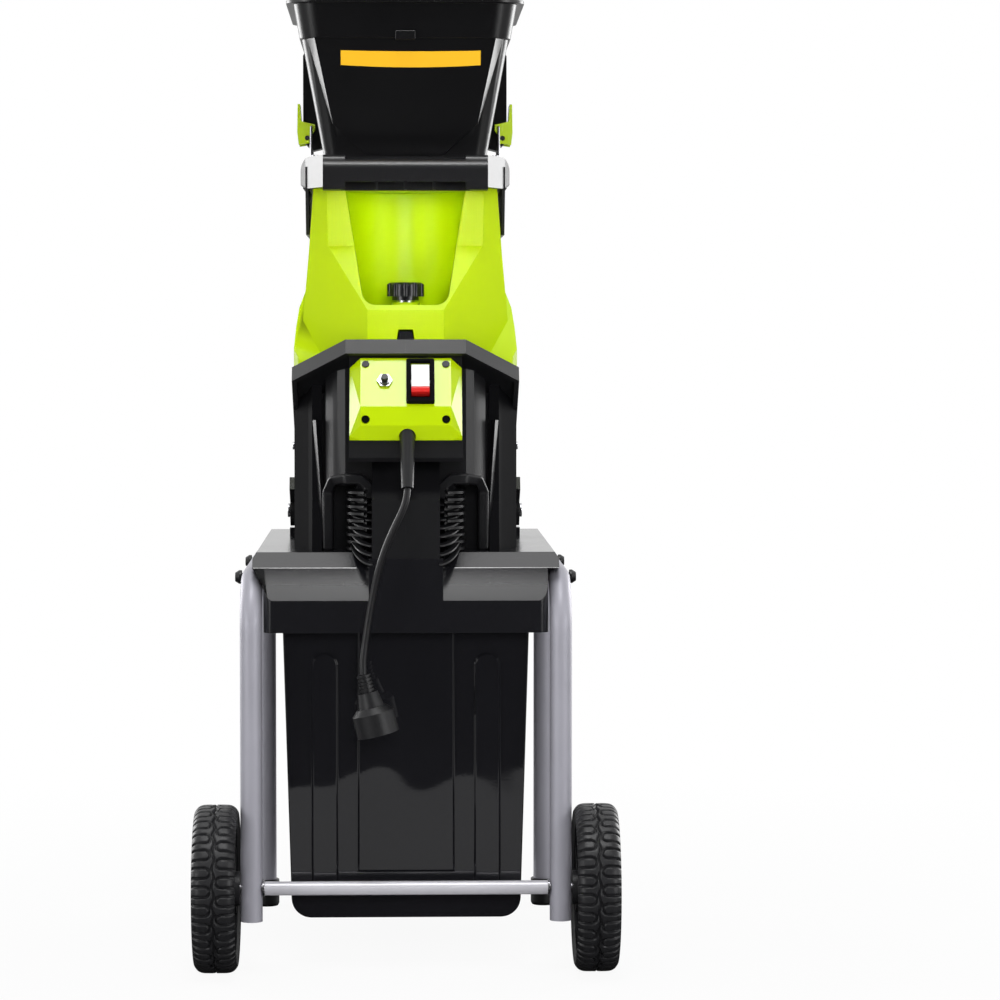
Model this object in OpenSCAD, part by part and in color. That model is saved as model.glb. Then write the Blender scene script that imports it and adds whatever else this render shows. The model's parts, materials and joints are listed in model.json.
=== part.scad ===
// Electric garden shredder with a catch bin. Millimetres, +Z up.
// The near side (-Y) carries the wheels, the switch and the cord; the bin draws out to the far side (+Y).
// Depths inside the modules are measured back from the axle; placed() moves them to the shared frame.

/* [Wheels and axle] */
// Wheel diameter over the tread
wheel_d = 168; // [140:1:190]
// Wheel width
wheel_w = 43; // [34:1:50]
// Tread slots in each of the two rows
tread_slots = 26; // [12:1:36]
// Depth of the tread slots
tread_depth = 2.6; // [1:0.1:4]
// Slant of the tread slots
tread_slant = 14; // [0:1:25]
// Diameter of the wheel hub
hub_d = 34; // [26:1:44]
// Axle rod diameter
axle_d = 10; // [8:0.5:12]
// Outside diameter of the spacer tube on the axle
spacer_d = 14; // [13:0.5:18]
// Gap from a side frame tube to its wheel
wheel_gap = 2.5; // [2:0.5:6]

/* [Side frames] */
// Distance between the tube centres of the two side frames
track = 310; // [300:1:340]
// Tube diameter
tube_d = 22; // [18:0.5:26]
// Tube wall thickness
tube_wall = 1.5; // [1:0.1:2.5]
// Distance from the axle back to the rear legs
wheelbase = 415; // [390:1:430]
// Bend radius on the tube centre line
bend_r = 50; // [40:1:56]
// Height of the centre line of the upper run
frame_top = 393; // [380:1:420]
// Height of the cut ends of the front legs
leg_end = 51; // [40:1:62]
// Diameter of the rear foot caps
foot_d = 28; // [26:0.5:34]
// Height of the rear foot caps
foot_h = 30; // [20:1:45]
// Frame bolt diameter
bolt_d = 8; // [6:0.5:10]
// Near frame bolt behind the axle
bolt_near = 58; // [54:1:90]
// Far frame bolt behind the axle
bolt_far = 306; // [250:1:340]

/* [Platform] */
// Platform top above the crown of the tubes
deck_rise = 16; // [12:1:24]
// Platform top down to the lower edge of the skirt
deck_depth = 79; // [70:1:95]
// Wall thickness of the platform
deck_wall = 3.5; // [2.5:0.1:5]
// Far edge of the platform behind the axle
deck_back = 455; // [450:1:480]
// Skirt face in front of the axle
skirt_out = 6; // [2:1:12]
// Height of the plain lower skirt
skirt_h = 32; // [24:1:38]
// Depth of the sloped pockets between skirt and lip
pocket_d = 18; // [10:1:24]
// Height of the bevelled lip band
lip_h = 15; // [12:1:20]
// Width of the centre block under the column
block_w = 74; // [72:1:90]

/* [Catch bin] */
// Gap between the platform's inner wall and the bin body
bin_gap = 14; // [11:0.5:24]
// Taper of each bin side from rim to bottom
bin_taper = 9; // [4:0.5:16]
// Bin bottom above the floor
bin_low = 49; // [30:1:70]
// Bin wall thickness
bin_wall = 2.5; // [2:0.1:4]
// Near face of the bin behind the axle
bin_near = 25; // [16:1:40]
// Corner radius along the bin bottom
bin_r = 20; // [10:1:30]
// Height the moulded ribs stand proud
rib_h = 4; // [1:0.5:5]

/* [Housing] */
// Width of the housing over its sides
body_w = 230; // [224:1:240]
// Slope of the parting plane between the housings
part_tilt = 29.5; // [26:0.5:32]
// Hinge axis behind the axle
hinge_y = 338; // [330:1:346]
// Hinge axis above the platform
hinge_rise = 27; // [26:1:36]
// Diameter of the hinge discs
hinge_disc_d = 34; // [30:1:40]
// Thickness of the hinge discs
hinge_disc_t = 8; // [6:0.5:10]
// Hinge pin diameter
hinge_pin_d = 8; // [6:0.5:10]
// Depth of the apron round the parting plane
flange_h = 16; // [12:1:20]
// Width of the tower behind the control box
tower_w = 138; // [130:1:146]
// Width of the centre column
column_w = 68; // [60:1:71]
// Louvres in each vent
louvres = 9; // [5:1:10]
// Radius of the louvred pods
pod_r = 27; // [22:1:30]
// Wall thickness of the housings
wall = 3; // [2:0.1:4]
// Top of the upper housing above the platform
upper_h = 366; // [350:1:390]
// Depth of the hand recess behind its front edge
recess_r = 62; // [58:1:66]
// Width of the hand recess at the top
recess_top_w = 124; // [110:1:130]
// Width of the hand recess at its floor
recess_low_w = 88; // [76:1:100]
// Floor of the hand recess below the housing top
recess_h = 118; // [100:1:124]

/* [Handle frame] */
// Height of the handle frame
collar_h = 32; // [26:1:40]
// Half width of the handle frame
collar_x = 107; // [104:1:112]
// Width of the grip bar
grip_w = 165; // [150:1:180]
// Depth of the grip bar
grip_d = 27; // [22:1:32]
// Height of the grip bar
grip_h = 31; // [24:1:38]

/* [Hopper] */
// Half width of the hopper neck
neck_x = 83; // [76:1:86]
// Near face of the neck behind the axle
neck_near = 60; // [58:1:70]
// Far face of the neck behind the axle
neck_far = 270; // [250:1:285]
// Wall thickness of the hopper
hopper_wall = 3; // [2:0.1:4]
// Height of the hopper step above the handle frame
bowl_h = 117; // [100:1:140]
// Half width of the bowl under its rim
bowl_x = 104; // [98:1:110]
// Height of the hopper rim piece
rim_h = 38; // [30:1:50]
// Half width over the rim lip
lip_x = 119.5; // [116:0.5:130]
// Thickness of the rim's lip
lip_t = 3.6; // [2:0.2:6]

/* [Latches] */
// Distance of the latch pivot from the centre plane
latch_x = 101; // [100:0.5:104]
// Latch pivot above the handle frame
latch_z = 24; // [22:0.5:30]
// Centre of the latches behind the axle
latch_y = 170; // [150:1:185]
// Width of the latch ear
ear_w = 30; // [24:1:36]
// Diameter of the latch wire
wire_d = 3; // [2.5:0.1:4]
// Lever length above the pivot
lever_h = 35; // [28:1:40]

/* [Locking knob] */
// Knob diameter
knob_d = 38; // [30:1:44]
// Knob height
knob_h = 14; // [10:1:18]
// Stud diameter
stud_d = 8; // [6:0.5:10]
// Knob axis behind the axle
knob_y = 48; // [44:1:54]

/* [Drive] */
// Blade disc radius
disc_r = 88; // [80:1:92]
// Blade disc thickness
disc_t = 8; // [6:0.5:10]
// Disc centre behind the axle
disc_y = 165; // [160:1:172]
// Motor can diameter
motor_d = 90; // [80:1:92]
// Motor can length
motor_l = 80; // [66:1:84]
// Motor shaft diameter
shaft_d = 17; // [12:0.5:20]

/* [Control box] */
// Width of the control box
box_w = 112; // [104:1:116]
// Tilt of the switch panel from upright
panel_tilt = 33; // [28:0.5:36]
// Length of the switch panel down its slope
panel_l = 56.5; // [54:0.5:60]
// Switch frame width
switch_w = 28; // [26:0.5:30]
// Switch frame length
switch_l = 50; // [46:0.5:52]
// Switch centre right of the middle
switch_x = 14.5; // [10:0.5:18]
// Reset button diameter
reset_d = 7; // [5:0.5:8]
// Reset button left of the middle
reset_x = 21; // [19:0.5:26]
// Cord diameter
cord_d = 7; // [6:0.1:8]
// Diameter of the plug collar
plug_d = 42; // [36:1:46]

/* [Fits] */
// Radial play of turning fits
run_gap = 0.05; // [0.02:0.01:0.1]
// Play of loose and sliding pieces
slide_gap = 0.5; // [0.3:0.1:1]
// Gap along the parting plane
part_gap = 0.3; // [0.2:0.1:0.6]

/* [Hidden] */
$fn = 48;
black = [0.1, 0.1, 0.11];
green = [0.74, 0.86, 0.05];
steel = [0.66, 0.66, 0.69];
zinc = [0.78, 0.78, 0.8];
copper = [0.6, 0.4, 0.25];
rubber = [0.06, 0.06, 0.06];

frame_x = track / 2;
tube_top = frame_top + tube_d / 2;
deck_z = tube_top + deck_rise;
skirt_z = deck_z - deck_depth;
skirt_y = -skirt_out;
deck_x = frame_x - tube_d / 2 - 1.5;
deck_in = deck_x - deck_wall;
lip_edge = frame_x - 1;
slope_z = skirt_z + skirt_h;
band_z = deck_z - lip_h;
band_y = skirt_y + pocket_d;
top_y = band_y + 14;
wheel_r = wheel_d / 2;
wheel_x = frame_x + tube_d / 2 + wheel_gap;
axle_y = -(deck_back - wheel_r) / 2;
hub_pocket = 10;

rail_t = 4;
rail_z = skirt_z + 25;
bin_rim = rail_z + rail_t + slide_gap;
bin_back = deck_back - 14;
rib_x = 82;
bin_flange = deck_in - 2;
flange_t = 4;
bin_top = bin_rim + flange_t;
bin_top_w = 2 * (deck_in - bin_gap);
bin_low_w = bin_top_w - 2 * bin_taper;

hinge_z = deck_z + hinge_rise;
body_x = body_w / 2;
cosp = cos(part_tilt);
flange_y = 8;
flange_x = 60;
near_u = -(hinge_y - flange_y) / cosp;
shoulder_u = near_u + (body_x - flange_x) * 1.04;
niche_y = 84;
niche_top = deck_z + 67;
tower_y = 40;
strip_x = 85;
strip_y = 70;
house_back = hinge_y + 6;
hole_x = 80;
hole_near = 248;
hole_far = 328;
disc_u = -(hinge_y - disc_y) / cosp;
plate_t = 4;
slab_t = plate_t + 6;

upper_z = deck_z + upper_h;
crease_z = upper_z - 58;
apron_z = upper_z - 123;
recess_z = upper_z - recess_h;
recess_y = 48;
upper_x = 106;
upper_far = hinge_y - 2;
duct_x = 58;
duct_near = recess_y + recess_r + wall + 9;
duct_far = 236;
cheek_z = upper_z - 101;
cheek_x = body_x - 2;

collar_z = upper_z + collar_h;
collar_near = neck_near - 6;
collar_far = neck_far + 12;
grip_y = 13;
grip_z = collar_z - 4 - grip_h;

bowl_z = collar_z + bowl_h;
rim_top = bowl_z + rim_h;
rim_near = 14;
rim_far = 300;
ear_x = latch_x + 4.5;
pivot_z = collar_z + latch_z;
bail_x = latch_x - 4;
bail_z = pivot_z + 11;
bail_y = ear_w / 2 + 9;
ledge_t = 4;
bail_bar = collar_z - ledge_t - 1.2 - wire_d / 2;

knob_low = recess_z + 5;
stud_tip = hinge_z + (hinge_y - knob_y) * tan(part_tilt) - 4;

panel_y = 5;
panel_z = deck_z + 195;
panel_low_y = panel_y - panel_l * sin(panel_tilt);
panel_low_z = panel_z - panel_l * cos(panel_tilt);
band_low_z = panel_low_z - 19;
box_low = band_low_z - 15;
base_low = box_low - 21.5;
switch_v = -29;
reset_v = -27.5;
screw_v = -7.5;
rocker_v = -28;
relief_top = [1.5, panel_y - 21, box_low + 8];
relief_end = [1.5, panel_y - 45, box_low - 47];
relief_run = norm(relief_end - relief_top);
relief_lean = atan2(relief_top[1] - relief_end[1], relief_top[2] - relief_end[2]);

// Cord centre line from the strain relief to the plug
cord_points = [
    relief_end,
    [0.9, panel_y - 47, box_low - 53],
    [-0.5, panel_y - 48.3, box_low - 60],
    [-2.8, panel_y - 48.8, box_low - 66.5],
    [-5.6, panel_y - 48.6, box_low - 73],
    [-9, panel_y - 47.8, box_low - 80],
    [-14.5, panel_y - 45.8, box_low - 92],
    [-19.5, panel_y - 43.4, box_low - 104],
    [-24, panel_y - 41, box_low - 117],
    [-28, panel_y - 38.8, box_low - 131],
    [-31.5, panel_y - 37.2, box_low - 146],
    [-34.6, panel_y - 36.3, box_low - 162],
    [-37.4, panel_y - 36, box_low - 178],
    [-39.8, panel_y - 36.2, box_low - 194],
    [-41.6, panel_y - 36.7, box_low - 208],
    [-42.6, panel_y - 37.4, box_low - 220],
    [-42.4, panel_y - 38, box_low - 232],
];
plug_top = cord_points[len(cord_points) - 1];
plug_lean = 14;

// Shared placing helpers

module placed() {
    translate([0, axle_y, 0]) children();
}

module both_sides() {
    children();
    mirror([1, 0, 0]) children();
}

module left_side() {
    mirror([1, 0, 0]) children();
}

module along_y(y0, y1) {
    translate([0, y1, 0]) rotate([90, 0, 0]) linear_extrude(y1 - y0) children();
}

module along_x(x0, x1) {
    translate([x0, 0, 0]) rotate([90, 0, 90]) linear_extrude(x1 - x0) children();
}

// Frame of the parting plane: second axis runs down the plane to the hinge, third is its normal
module on_plane() {
    translate([0, hinge_y, hinge_z]) rotate([-part_tilt, 0, 0]) children();
}

module on_shaft() {
    on_plane() translate([0, disc_u, 0]) children();
}

module above_plane(lift) {
    on_plane() translate([-400, -700, lift]) cube([800, 1400, 900]);
}

module below_plane(drop) {
    on_plane() translate([-400, -700, -900 - drop]) cube([800, 1400, 900]);
}

// Frame of the switch panel: origin at its top edge, second axis up the slope, third outward
module on_panel() {
    translate([0, panel_y, panel_z]) rotate([90 - panel_tilt, 0, 0]) children();
}

function arc(cx, cy, r, a0, a1, n) =
    [for (i = [0 : n]) [cx + r * cos(a0 + (a1 - a0) * i / n), cy + r * sin(a0 + (a1 - a0) * i / n)]];

// Square with two or four round corners, from true arcs
module round_box(w, d, r) {
    translate([-w / 2 + r, -d / 2]) square([w - 2 * r, d]);
    translate([-w / 2, -d / 2 + r]) square([w, d - 2 * r]);
    for (x = [-1, 1], y = [-1, 1]) {
        translate([x * (w / 2 - r), y * (d / 2 - r)]) circle(r);
    }
}

module ring(outer, inner, h) {
    difference() {
        cylinder(d = outer, h = h);
        translate([0, 0, -1]) cylinder(d = inner, h = h + 2);
    }
}

// Chassis

module tube_run(d, ends) {
    translate([0, 0, leg_end - ends]) cylinder(d = d, h = frame_top - bend_r - leg_end + ends);
    translate([0, wheelbase, 6 - ends]) cylinder(d = d, h = frame_top - bend_r - 6 + ends);
    translate([0, bend_r, frame_top]) rotate([-90, 0, 0]) cylinder(d = d, h = wheelbase - 2 * bend_r);
    translate([0, bend_r, frame_top - bend_r])
        rotate([90, 0, -90]) rotate_extrude(angle = 90) translate([bend_r, 0]) circle(d = d);
    translate([0, wheelbase - bend_r, frame_top - bend_r])
        rotate([90, 0, 90]) rotate_extrude(angle = 90) translate([bend_r, 0]) circle(d = d);
}

module side_frame() {
    translate([frame_x, 0, 0]) difference() {
        tube_run(tube_d, 0);
        tube_run(tube_d - 2 * tube_wall, 1);
        translate([-tube_d, 0, wheel_r]) rotate([0, 90, 0]) cylinder(d = axle_d + 2 * run_gap, h = 2 * tube_d);
        for (y = [bolt_near, bolt_far]) {
            translate([-tube_d, y, frame_top]) rotate([0, 90, 0]) cylinder(d = bolt_d + 2 * run_gap, h = 2 * tube_d);
        }
    }
}

module left_frame() {
    color(steel) placed() left_side() side_frame();
}

module right_frame() {
    color(steel) placed() side_frame();
}

module frame_bolts() {
    color(black) placed() both_sides() for (y = [bolt_near, bolt_far]) {
        translate([deck_in - 7, y, frame_top]) rotate([0, 90, 0])
            cylinder(d = bolt_d, h = frame_x + tube_d / 2 - deck_in + 8);
        translate([frame_x + tube_d / 2, y, frame_top]) rotate([0, 90, 0]) {
            cylinder(d = bolt_d * 1.75, h = 3);
            translate([0, 0, 3]) cylinder(d1 = bolt_d * 1.75, d2 = bolt_d * 1.1, h = 4);
        }
    }
}

module frame_nuts() {
    color(zinc) placed() both_sides() for (y = [bolt_near, bolt_far]) {
        translate([deck_in - 6, y, frame_top]) rotate([0, 90, 0]) difference() {
            cylinder(d = bolt_d * 1.9, h = 6, $fn = 6);
            translate([0, 0, -1]) cylinder(d = bolt_d + 2 * run_gap, h = 8);
        }
    }
}

module rear_feet() {
    color(rubber) placed() both_sides() translate([frame_x, wheelbase, 0]) difference() {
        union() {
            cylinder(d1 = foot_d - 3, d2 = foot_d, h = 3);
            translate([0, 0, 3]) cylinder(d = foot_d, h = foot_h - 3);
        }
        translate([0, 0, 6]) cylinder(d = tube_d + 2 * run_gap, h = foot_h);
    }
}

module axle_rod() {
    color(steel) placed() translate([-wheel_x - wheel_w + 4, 0, wheel_r]) rotate([0, 90, 0])
        cylinder(d = axle_d, h = 2 * (wheel_x + wheel_w - 4));
}

module axle_spacer() {
    color(steel) placed() translate([-frame_x + tube_d / 2 + 2, 0, wheel_r]) rotate([0, 90, 0])
        ring(spacer_d, axle_d + 2 * run_gap, track - tube_d - 4);
}

module star_washers() {
    color(zinc) placed() both_sides() for (x = [frame_x - tube_d / 2 - 2, wheel_x + wheel_w - hub_pocket + 0.5]) {
        translate([x, 0, wheel_r]) rotate([0, 90, 0]) difference() {
            ring(spacer_d + 4, axle_d + 2 * run_gap, 2);
            for (a = [0 : 45 : 315]) {
                rotate([0, 0, a]) translate([spacer_d / 2 + 1, -0.7, -1]) cube([4, 1.4, 4]);
            }
        }
    }
}

// Wheel about its own Z axis, inner face at zero
module wheel_body() {
    bead = wheel_r - 18;
    difference() {
        union() {
            rotate_extrude() polygon([
                [bead, 3], [wheel_r - 7, 0], [wheel_r - 2, 3], [wheel_r, 10],
                [wheel_r, wheel_w - 10], [wheel_r - 2, wheel_w - 3], [wheel_r - 7, wheel_w], [bead, wheel_w - 3],
            ]);
            translate([0, 0, wheel_w * 0.6]) cylinder(r = bead + 1, h = 4);
            translate([0, 0, -wheel_gap + 0.5]) cylinder(d = hub_d, h = wheel_w + wheel_gap - 0.5);
            for (a = [0 : 60 : 300]) {
                rotate([0, 0, a]) translate([hub_d / 2 - 2, -2, 4]) cube([bead - hub_d / 2 + 4, 4, wheel_w - 9]);
            }
        }
        translate([0, 0, -5]) cylinder(d = axle_d + 2 * run_gap, h = wheel_w + 10);
        translate([0, 0, wheel_w - hub_pocket]) cylinder(d = hub_d - 6, h = 20);
        for (a = [30 : 60 : 330]) {
            rotate([0, 0, a]) translate([(bead + hub_d / 2) / 2, 0, wheel_w * 0.6 - 1]) cylinder(d = 24, h = 6);
        }
        for (i = [0 : tread_slots - 1]) {
            rotate([0, 0, i * 360 / tread_slots]) translate([wheel_r - tread_depth, 0, wheel_w * 0.19])
                rotate([tread_slant, 0, 0]) translate([0, -1.6, -wheel_w * 0.24]) cube([6, 3.2, wheel_w * 0.44]);
            rotate([0, 0, (i + 0.5) * 360 / tread_slots]) translate([wheel_r - tread_depth, 0, wheel_w * 0.81])
                rotate([-tread_slant, 0, 0]) translate([0, -1.6, -wheel_w * 0.2]) cube([6, 3.2, wheel_w * 0.44]);
        }
        translate([0, 0, wheel_w / 2 - 1]) difference() {
            cylinder(r = wheel_r + 1, h = 2);
            translate([0, 0, -1]) cylinder(r = wheel_r - 1.8, h = 4);
        }
    }
}

module wheel() {
    translate([wheel_x, 0, wheel_r]) rotate([0, 90, 0]) wheel_body();
}

module left_wheel() {
    color(rubber) placed() left_side() wheel();
}

module right_wheel() {
    color(rubber) placed() wheel();
}

module hub_cap() {
    translate([wheel_x + wheel_w - 7, 0, wheel_r]) rotate([0, 90, 0]) difference() {
        cylinder(d = hub_d - 6 - 2 * run_gap, h = 8);
        translate([0, 0, -1]) cylinder(d = hub_d - 10, h = 6);
    }
}

module left_hub_cap() {
    color(black) placed() left_side() hub_cap();
}

module right_hub_cap() {
    color(black) placed() hub_cap();
}

// Platform

module deck_outline() {
    polygon([
        [-lip_edge + 4, deck_z], [lip_edge - 4, deck_z], [lip_edge, deck_z - 6], [lip_edge, tube_top + 0.3],
        [deck_x, tube_top + 0.3], [deck_x, skirt_z], [-deck_x, skirt_z], [-deck_x, tube_top + 0.3],
        [-lip_edge, tube_top + 0.3], [-lip_edge, deck_z - 6],
    ]);
}

module deck_side() {
    polygon([
        [skirt_y, skirt_z], [skirt_y, slope_z], [band_y, band_z], [top_y, deck_z],
        [deck_back, deck_z], [deck_back, skirt_z],
    ]);
}

module deck_hollow() {
    polygon([
        [skirt_y + deck_wall, skirt_z - 1], [skirt_y + deck_wall, slope_z - 2],
        [band_y + deck_wall, band_z - 2], [top_y + 2, deck_z - 4],
        [deck_back + 1, deck_z - 4], [deck_back + 1, skirt_z - 1],
    ]);
}

module platform() {
    color(black) placed() {
        difference() {
            union() {
                intersection() {
                    along_y(skirt_y, deck_back) deck_outline();
                    along_x(-lip_edge, lip_edge) deck_side();
                }
                translate([-block_w / 2, skirt_y, skirt_z]) cube([block_w, 40, deck_depth - 5]);
            }
            difference() {
                along_x(-deck_in, deck_in) deck_hollow();
                translate([-block_w / 2, skirt_y, bin_top + 4]) cube([block_w, 40, deck_depth]);
            }
            translate([-block_w / 2 + deck_wall, skirt_y + deck_wall, skirt_z - 1])
                cube([block_w - 2 * deck_wall, 46, deck_depth - 8]);
            translate([-hole_x + 4, hole_near + 4, skirt_z]) cube([2 * hole_x - 8, hole_far - hole_near - 8, 200]);
            both_sides() for (y = [bolt_near, bolt_far]) {
                translate([deck_in - 5, y, frame_top]) rotate([0, 90, 0]) cylinder(d = bolt_d + 2 * run_gap, h = 20);
            }
            both_sides() translate([deck_x - 10, skirt_y + 10, skirt_z - 1]) difference() {
                translate([0, -11, 0]) cube([11, 11, deck_depth - 20]);
                translate([0, 0, -1]) cylinder(r = 10, h = deck_depth);
            }
        }
        both_sides() {
            translate([bin_top_w / 2 + 4, skirt_y + 6, rail_z]) cube([deck_in - bin_top_w / 2 - 3, deck_back + skirt_out - 12, rail_t]);
            translate([body_x + 2.5, hinge_y - 11, deck_z - 1])
                cube([hinge_disc_t, 22, hinge_rise - hinge_disc_d / 2 - 0.5]);
        }
    }
}

// Catch bin

module bin_section(inset) {
    low = bin_low_w / 2 - inset;
    high = bin_top_w / 2 - inset;
    polygon(concat(
        [[high, bin_top + (inset > 0 ? 5 : 0)]],
        [[-high, bin_top + (inset > 0 ? 5 : 0)]],
        arc(-low + bin_r, bin_low + inset + bin_r, bin_r, 180, 270, 8),
        arc(low - bin_r, bin_low + inset + bin_r, bin_r, 270, 360, 8)
    ));
}

module bin_side(inset) {
    polygon([
        [bin_near + 6 + inset, bin_low - 1], [bin_near + inset, bin_top + 6],
        [bin_back - inset, bin_top + 6], [bin_back - 8 - inset, bin_low - 1],
    ]);
}

module bin_ribs() {
    for (x = [-1, 1]) {
        translate([x * rib_x - 12.5, bin_low + 34]) square([25, 222]);
        translate([x * rib_x, bin_low + 256]) circle(12.5);
    }
    translate([-48, bin_low + 48]) square([96, bin_rim - bin_low - 62]);
}

module bin() {
    color(black) placed() {
        difference() {
            union() {
                intersection() {
                    along_y(bin_near - 20, bin_back + 20) bin_section(0);
                    along_x(-200, 200) bin_side(0);
                }
                intersection() {
                    along_y(bin_near - 20, bin_near + 20) bin_ribs();
                    along_x(-200, 200) translate([-rib_h, 0]) bin_side(0);
                }
                translate([-bin_flange, bin_near - 6, bin_rim]) cube([2 * bin_flange, bin_back - bin_near + 12, flange_t]);
                along_x(-60, 60) polygon([
                    [bin_back - 6, bin_rim - 40], [bin_back + 12, bin_rim - 40], [bin_back + 12, bin_rim - 66],
                    [bin_back + 8, bin_rim - 66], [bin_back + 8, bin_rim - 45], [bin_back - 6, bin_rim - 45],
                ]);
            }
            intersection() {
                along_y(bin_near - 20, bin_back + 20) bin_section(bin_wall);
                along_x(-200, 200) bin_side(bin_wall);
            }
        }
    }
}

// Lower housing

module flange_outline(inset) {
    polygon([
        [-flange_x + inset / 2, near_u + inset], [flange_x - inset / 2, near_u + inset],
        [body_x - inset, shoulder_u + inset / 2], [body_x - inset, -14], [body_x - 14, 4 - inset],
        [-body_x + 14, 4 - inset], [-body_x + inset, -14], [-body_x + inset, shoulder_u + inset / 2],
    ]);
}

module base_plan() {
    polygon([
        [-strip_x, niche_y], [-strip_x, strip_y], [-strip_x - 10, strip_y], [-strip_x - 14, strip_y + 10],
        [-body_x + 1, strip_y + 34], [-body_x, house_back - 14], [-body_x + 14, house_back],
        [body_x - 14, house_back], [body_x, house_back - 14], [body_x - 1, strip_y + 34],
        [strip_x + 14, strip_y + 10], [strip_x + 10, strip_y], [strip_x, strip_y], [strip_x, niche_y],
    ]);
}

module base_hollow() {
    polygon([
        [-strip_x - 8, niche_y + wall], [-body_x + 1 + wall, strip_y + 38], [-body_x + wall, house_back - 14],
        [-body_x + 14, house_back - wall], [body_x - 14, house_back - wall], [body_x - wall, house_back - 14],
        [body_x - 1 - wall, strip_y + 38], [strip_x + 8, niche_y + wall],
    ]);
}

module tower_plan(inset) {
    half = tower_w / 2 - inset;
    polygon([
        [-half + 8, tower_y + inset], [half - 8, tower_y + inset], [half, tower_y + 3 + inset],
        [half + 5, tower_y + 9 + inset], [strip_x - 4 - inset, tower_y + 20 + inset],
        [strip_x - 4 - inset, niche_y + 10], [-strip_x + 4 + inset, niche_y + 10],
        [-strip_x + 4 + inset, tower_y + 20 + inset], [-half - 5, tower_y + 9 + inset], [-half, tower_y + 3 + inset],
    ]);
}

module column_side(inset) {
    polygon([
        [skirt_y + inset, deck_z - 10], [skirt_y + inset, deck_z + 54 - inset], [tower_y, base_low - 2 - 2 * inset],
        [niche_y + 10, base_low - 2 - 2 * inset], [niche_y + 10, deck_z - 10],
    ]);
}

// One louvred pod: a solid core with sloping ring fins, quarter turn
module pod() {
    pitch = 64 / louvres;
    translate([column_w / 2 - 1, niche_y - 36, deck_z]) rotate([0, 0, -70]) {
        rotate_extrude(angle = 160) square([pod_r - 9, niche_top - deck_z + 2]);
        for (i = [0 : louvres - 1]) {
            translate([0, 0, 3 + i * pitch]) rotate_extrude(angle = 160) polygon([
                [pod_r - 10, 1], [pod_r, -1.5], [pod_r, 1], [pod_r - 10, 3.5],
            ]);
        }
    }
}

module lower_shell() {
    difference() {
        union() {
            on_plane() translate([0, 0, -slab_t]) linear_extrude(slab_t) flange_outline(0);
            on_plane() translate([0, 0, -flange_h]) linear_extrude(flange_h) difference() {
                flange_outline(0);
                flange_outline(5);
                translate([-200, -20]) square([400, 60]);
            }
            difference() {
                union() {
                    translate([0, 0, deck_z]) linear_extrude(300) base_plan();
                    translate([0, 0, niche_top]) linear_extrude(300) tower_plan(0);
                }
                above_plane(-2);
            }
            intersection() {
                along_x(-column_w / 2, column_w / 2) column_side(0);
                translate([-100, -100, deck_z]) cube([200, 400, 400]);
            }
            translate([-column_w / 2, skirt_y, deck_z - 5]) cube([column_w, 26, 8]);
            both_sides() {
                along_x(strip_x, strip_x + 10) polygon([
                    [strip_y + 1, deck_z + 52], [strip_y - 16, deck_z], [strip_y + 10, deck_z], [strip_y + 10, deck_z + 52],
                ]);
                intersection() {
                    pod();
                    translate([column_w / 2 - 1, -50, deck_z]) cube([60, niche_y + 60, niche_top - deck_z + 1]);
                }
                on_plane() translate([body_x - 14, 0, 0]) rotate([0, 90, 0]) cylinder(r = 10, h = 14);
            }
            translate([0, 0, hinge_z + (hinge_y - flange_y) * tan(part_tilt) - 2])
                along_y(flange_y + 1, flange_y + 7) polygon([[-8.5, 0], [8.5, 0], [6, 10], [-6, 10]]);
        }
        difference() {
            union() {
                translate([0, 0, deck_z + wall]) linear_extrude(300) base_hollow();
                translate([0, 0, niche_top + wall]) linear_extrude(300) tower_plan(wall);
                intersection() {
                    along_x(-column_w / 2 + wall, column_w / 2 - wall) column_side(wall);
                    translate([-100, -100, deck_z + wall]) cube([200, 400, 400]);
                }
                on_plane() translate([0, 0, -plate_t - 2]) linear_extrude(40) flange_outline(3);
            }
            difference() {
                on_plane() translate([0, 0, -slab_t]) linear_extrude(slab_t - plate_t - 2) flange_outline(0);
                on_plane() translate([0, 0, -slab_t - 1]) linear_extrude(slab_t + 2) flange_outline(9);
            }
            both_sides() on_plane() translate([body_x - 14, 0, 0]) rotate([0, 90, 0]) cylinder(r = 10, h = 14);
        }
        translate([-hole_x, hole_near, deck_z - 1]) cube([2 * hole_x, hole_far - hole_near, wall + 2]);
        both_sides() on_plane() translate([body_x - 16, 0, 0]) rotate([0, 90, 0])
            cylinder(d = hinge_pin_d + 2 * run_gap, h = 20);
        translate([0, knob_y, stud_tip - 8]) cylinder(d = stud_d + 12, h = 40);
        both_sides() for (y = [150, 230]) {
            translate([body_x - 10, y, hinge_z + (hinge_y - y) * tan(part_tilt) - 30]) rotate([0, 90, 0])
                cylinder(d = 4 + 2 * run_gap, h = 20);
        }
    }
}

module left_housing() {
    color(black) placed() intersection() {
        lower_shell();
        translate([-300, -200, 0]) cube([300, 800, 900]);
    }
}

module right_housing() {
    color(black) placed() intersection() {
        lower_shell();
        translate([0, -200, 0]) cube([300, 800, 900]);
    }
}

module housing_screws() {
    color(zinc) placed() both_sides() for (y = [150, 230]) {
        z = hinge_z + (hinge_y - y) * tan(part_tilt) - 30;
        translate([body_x - 6, y, z]) rotate([0, 90, 0]) {
            cylinder(d = 4, h = 6);
            translate([0, 0, 6]) cylinder(d = 8, h = 2);
        }
    }
}

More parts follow.
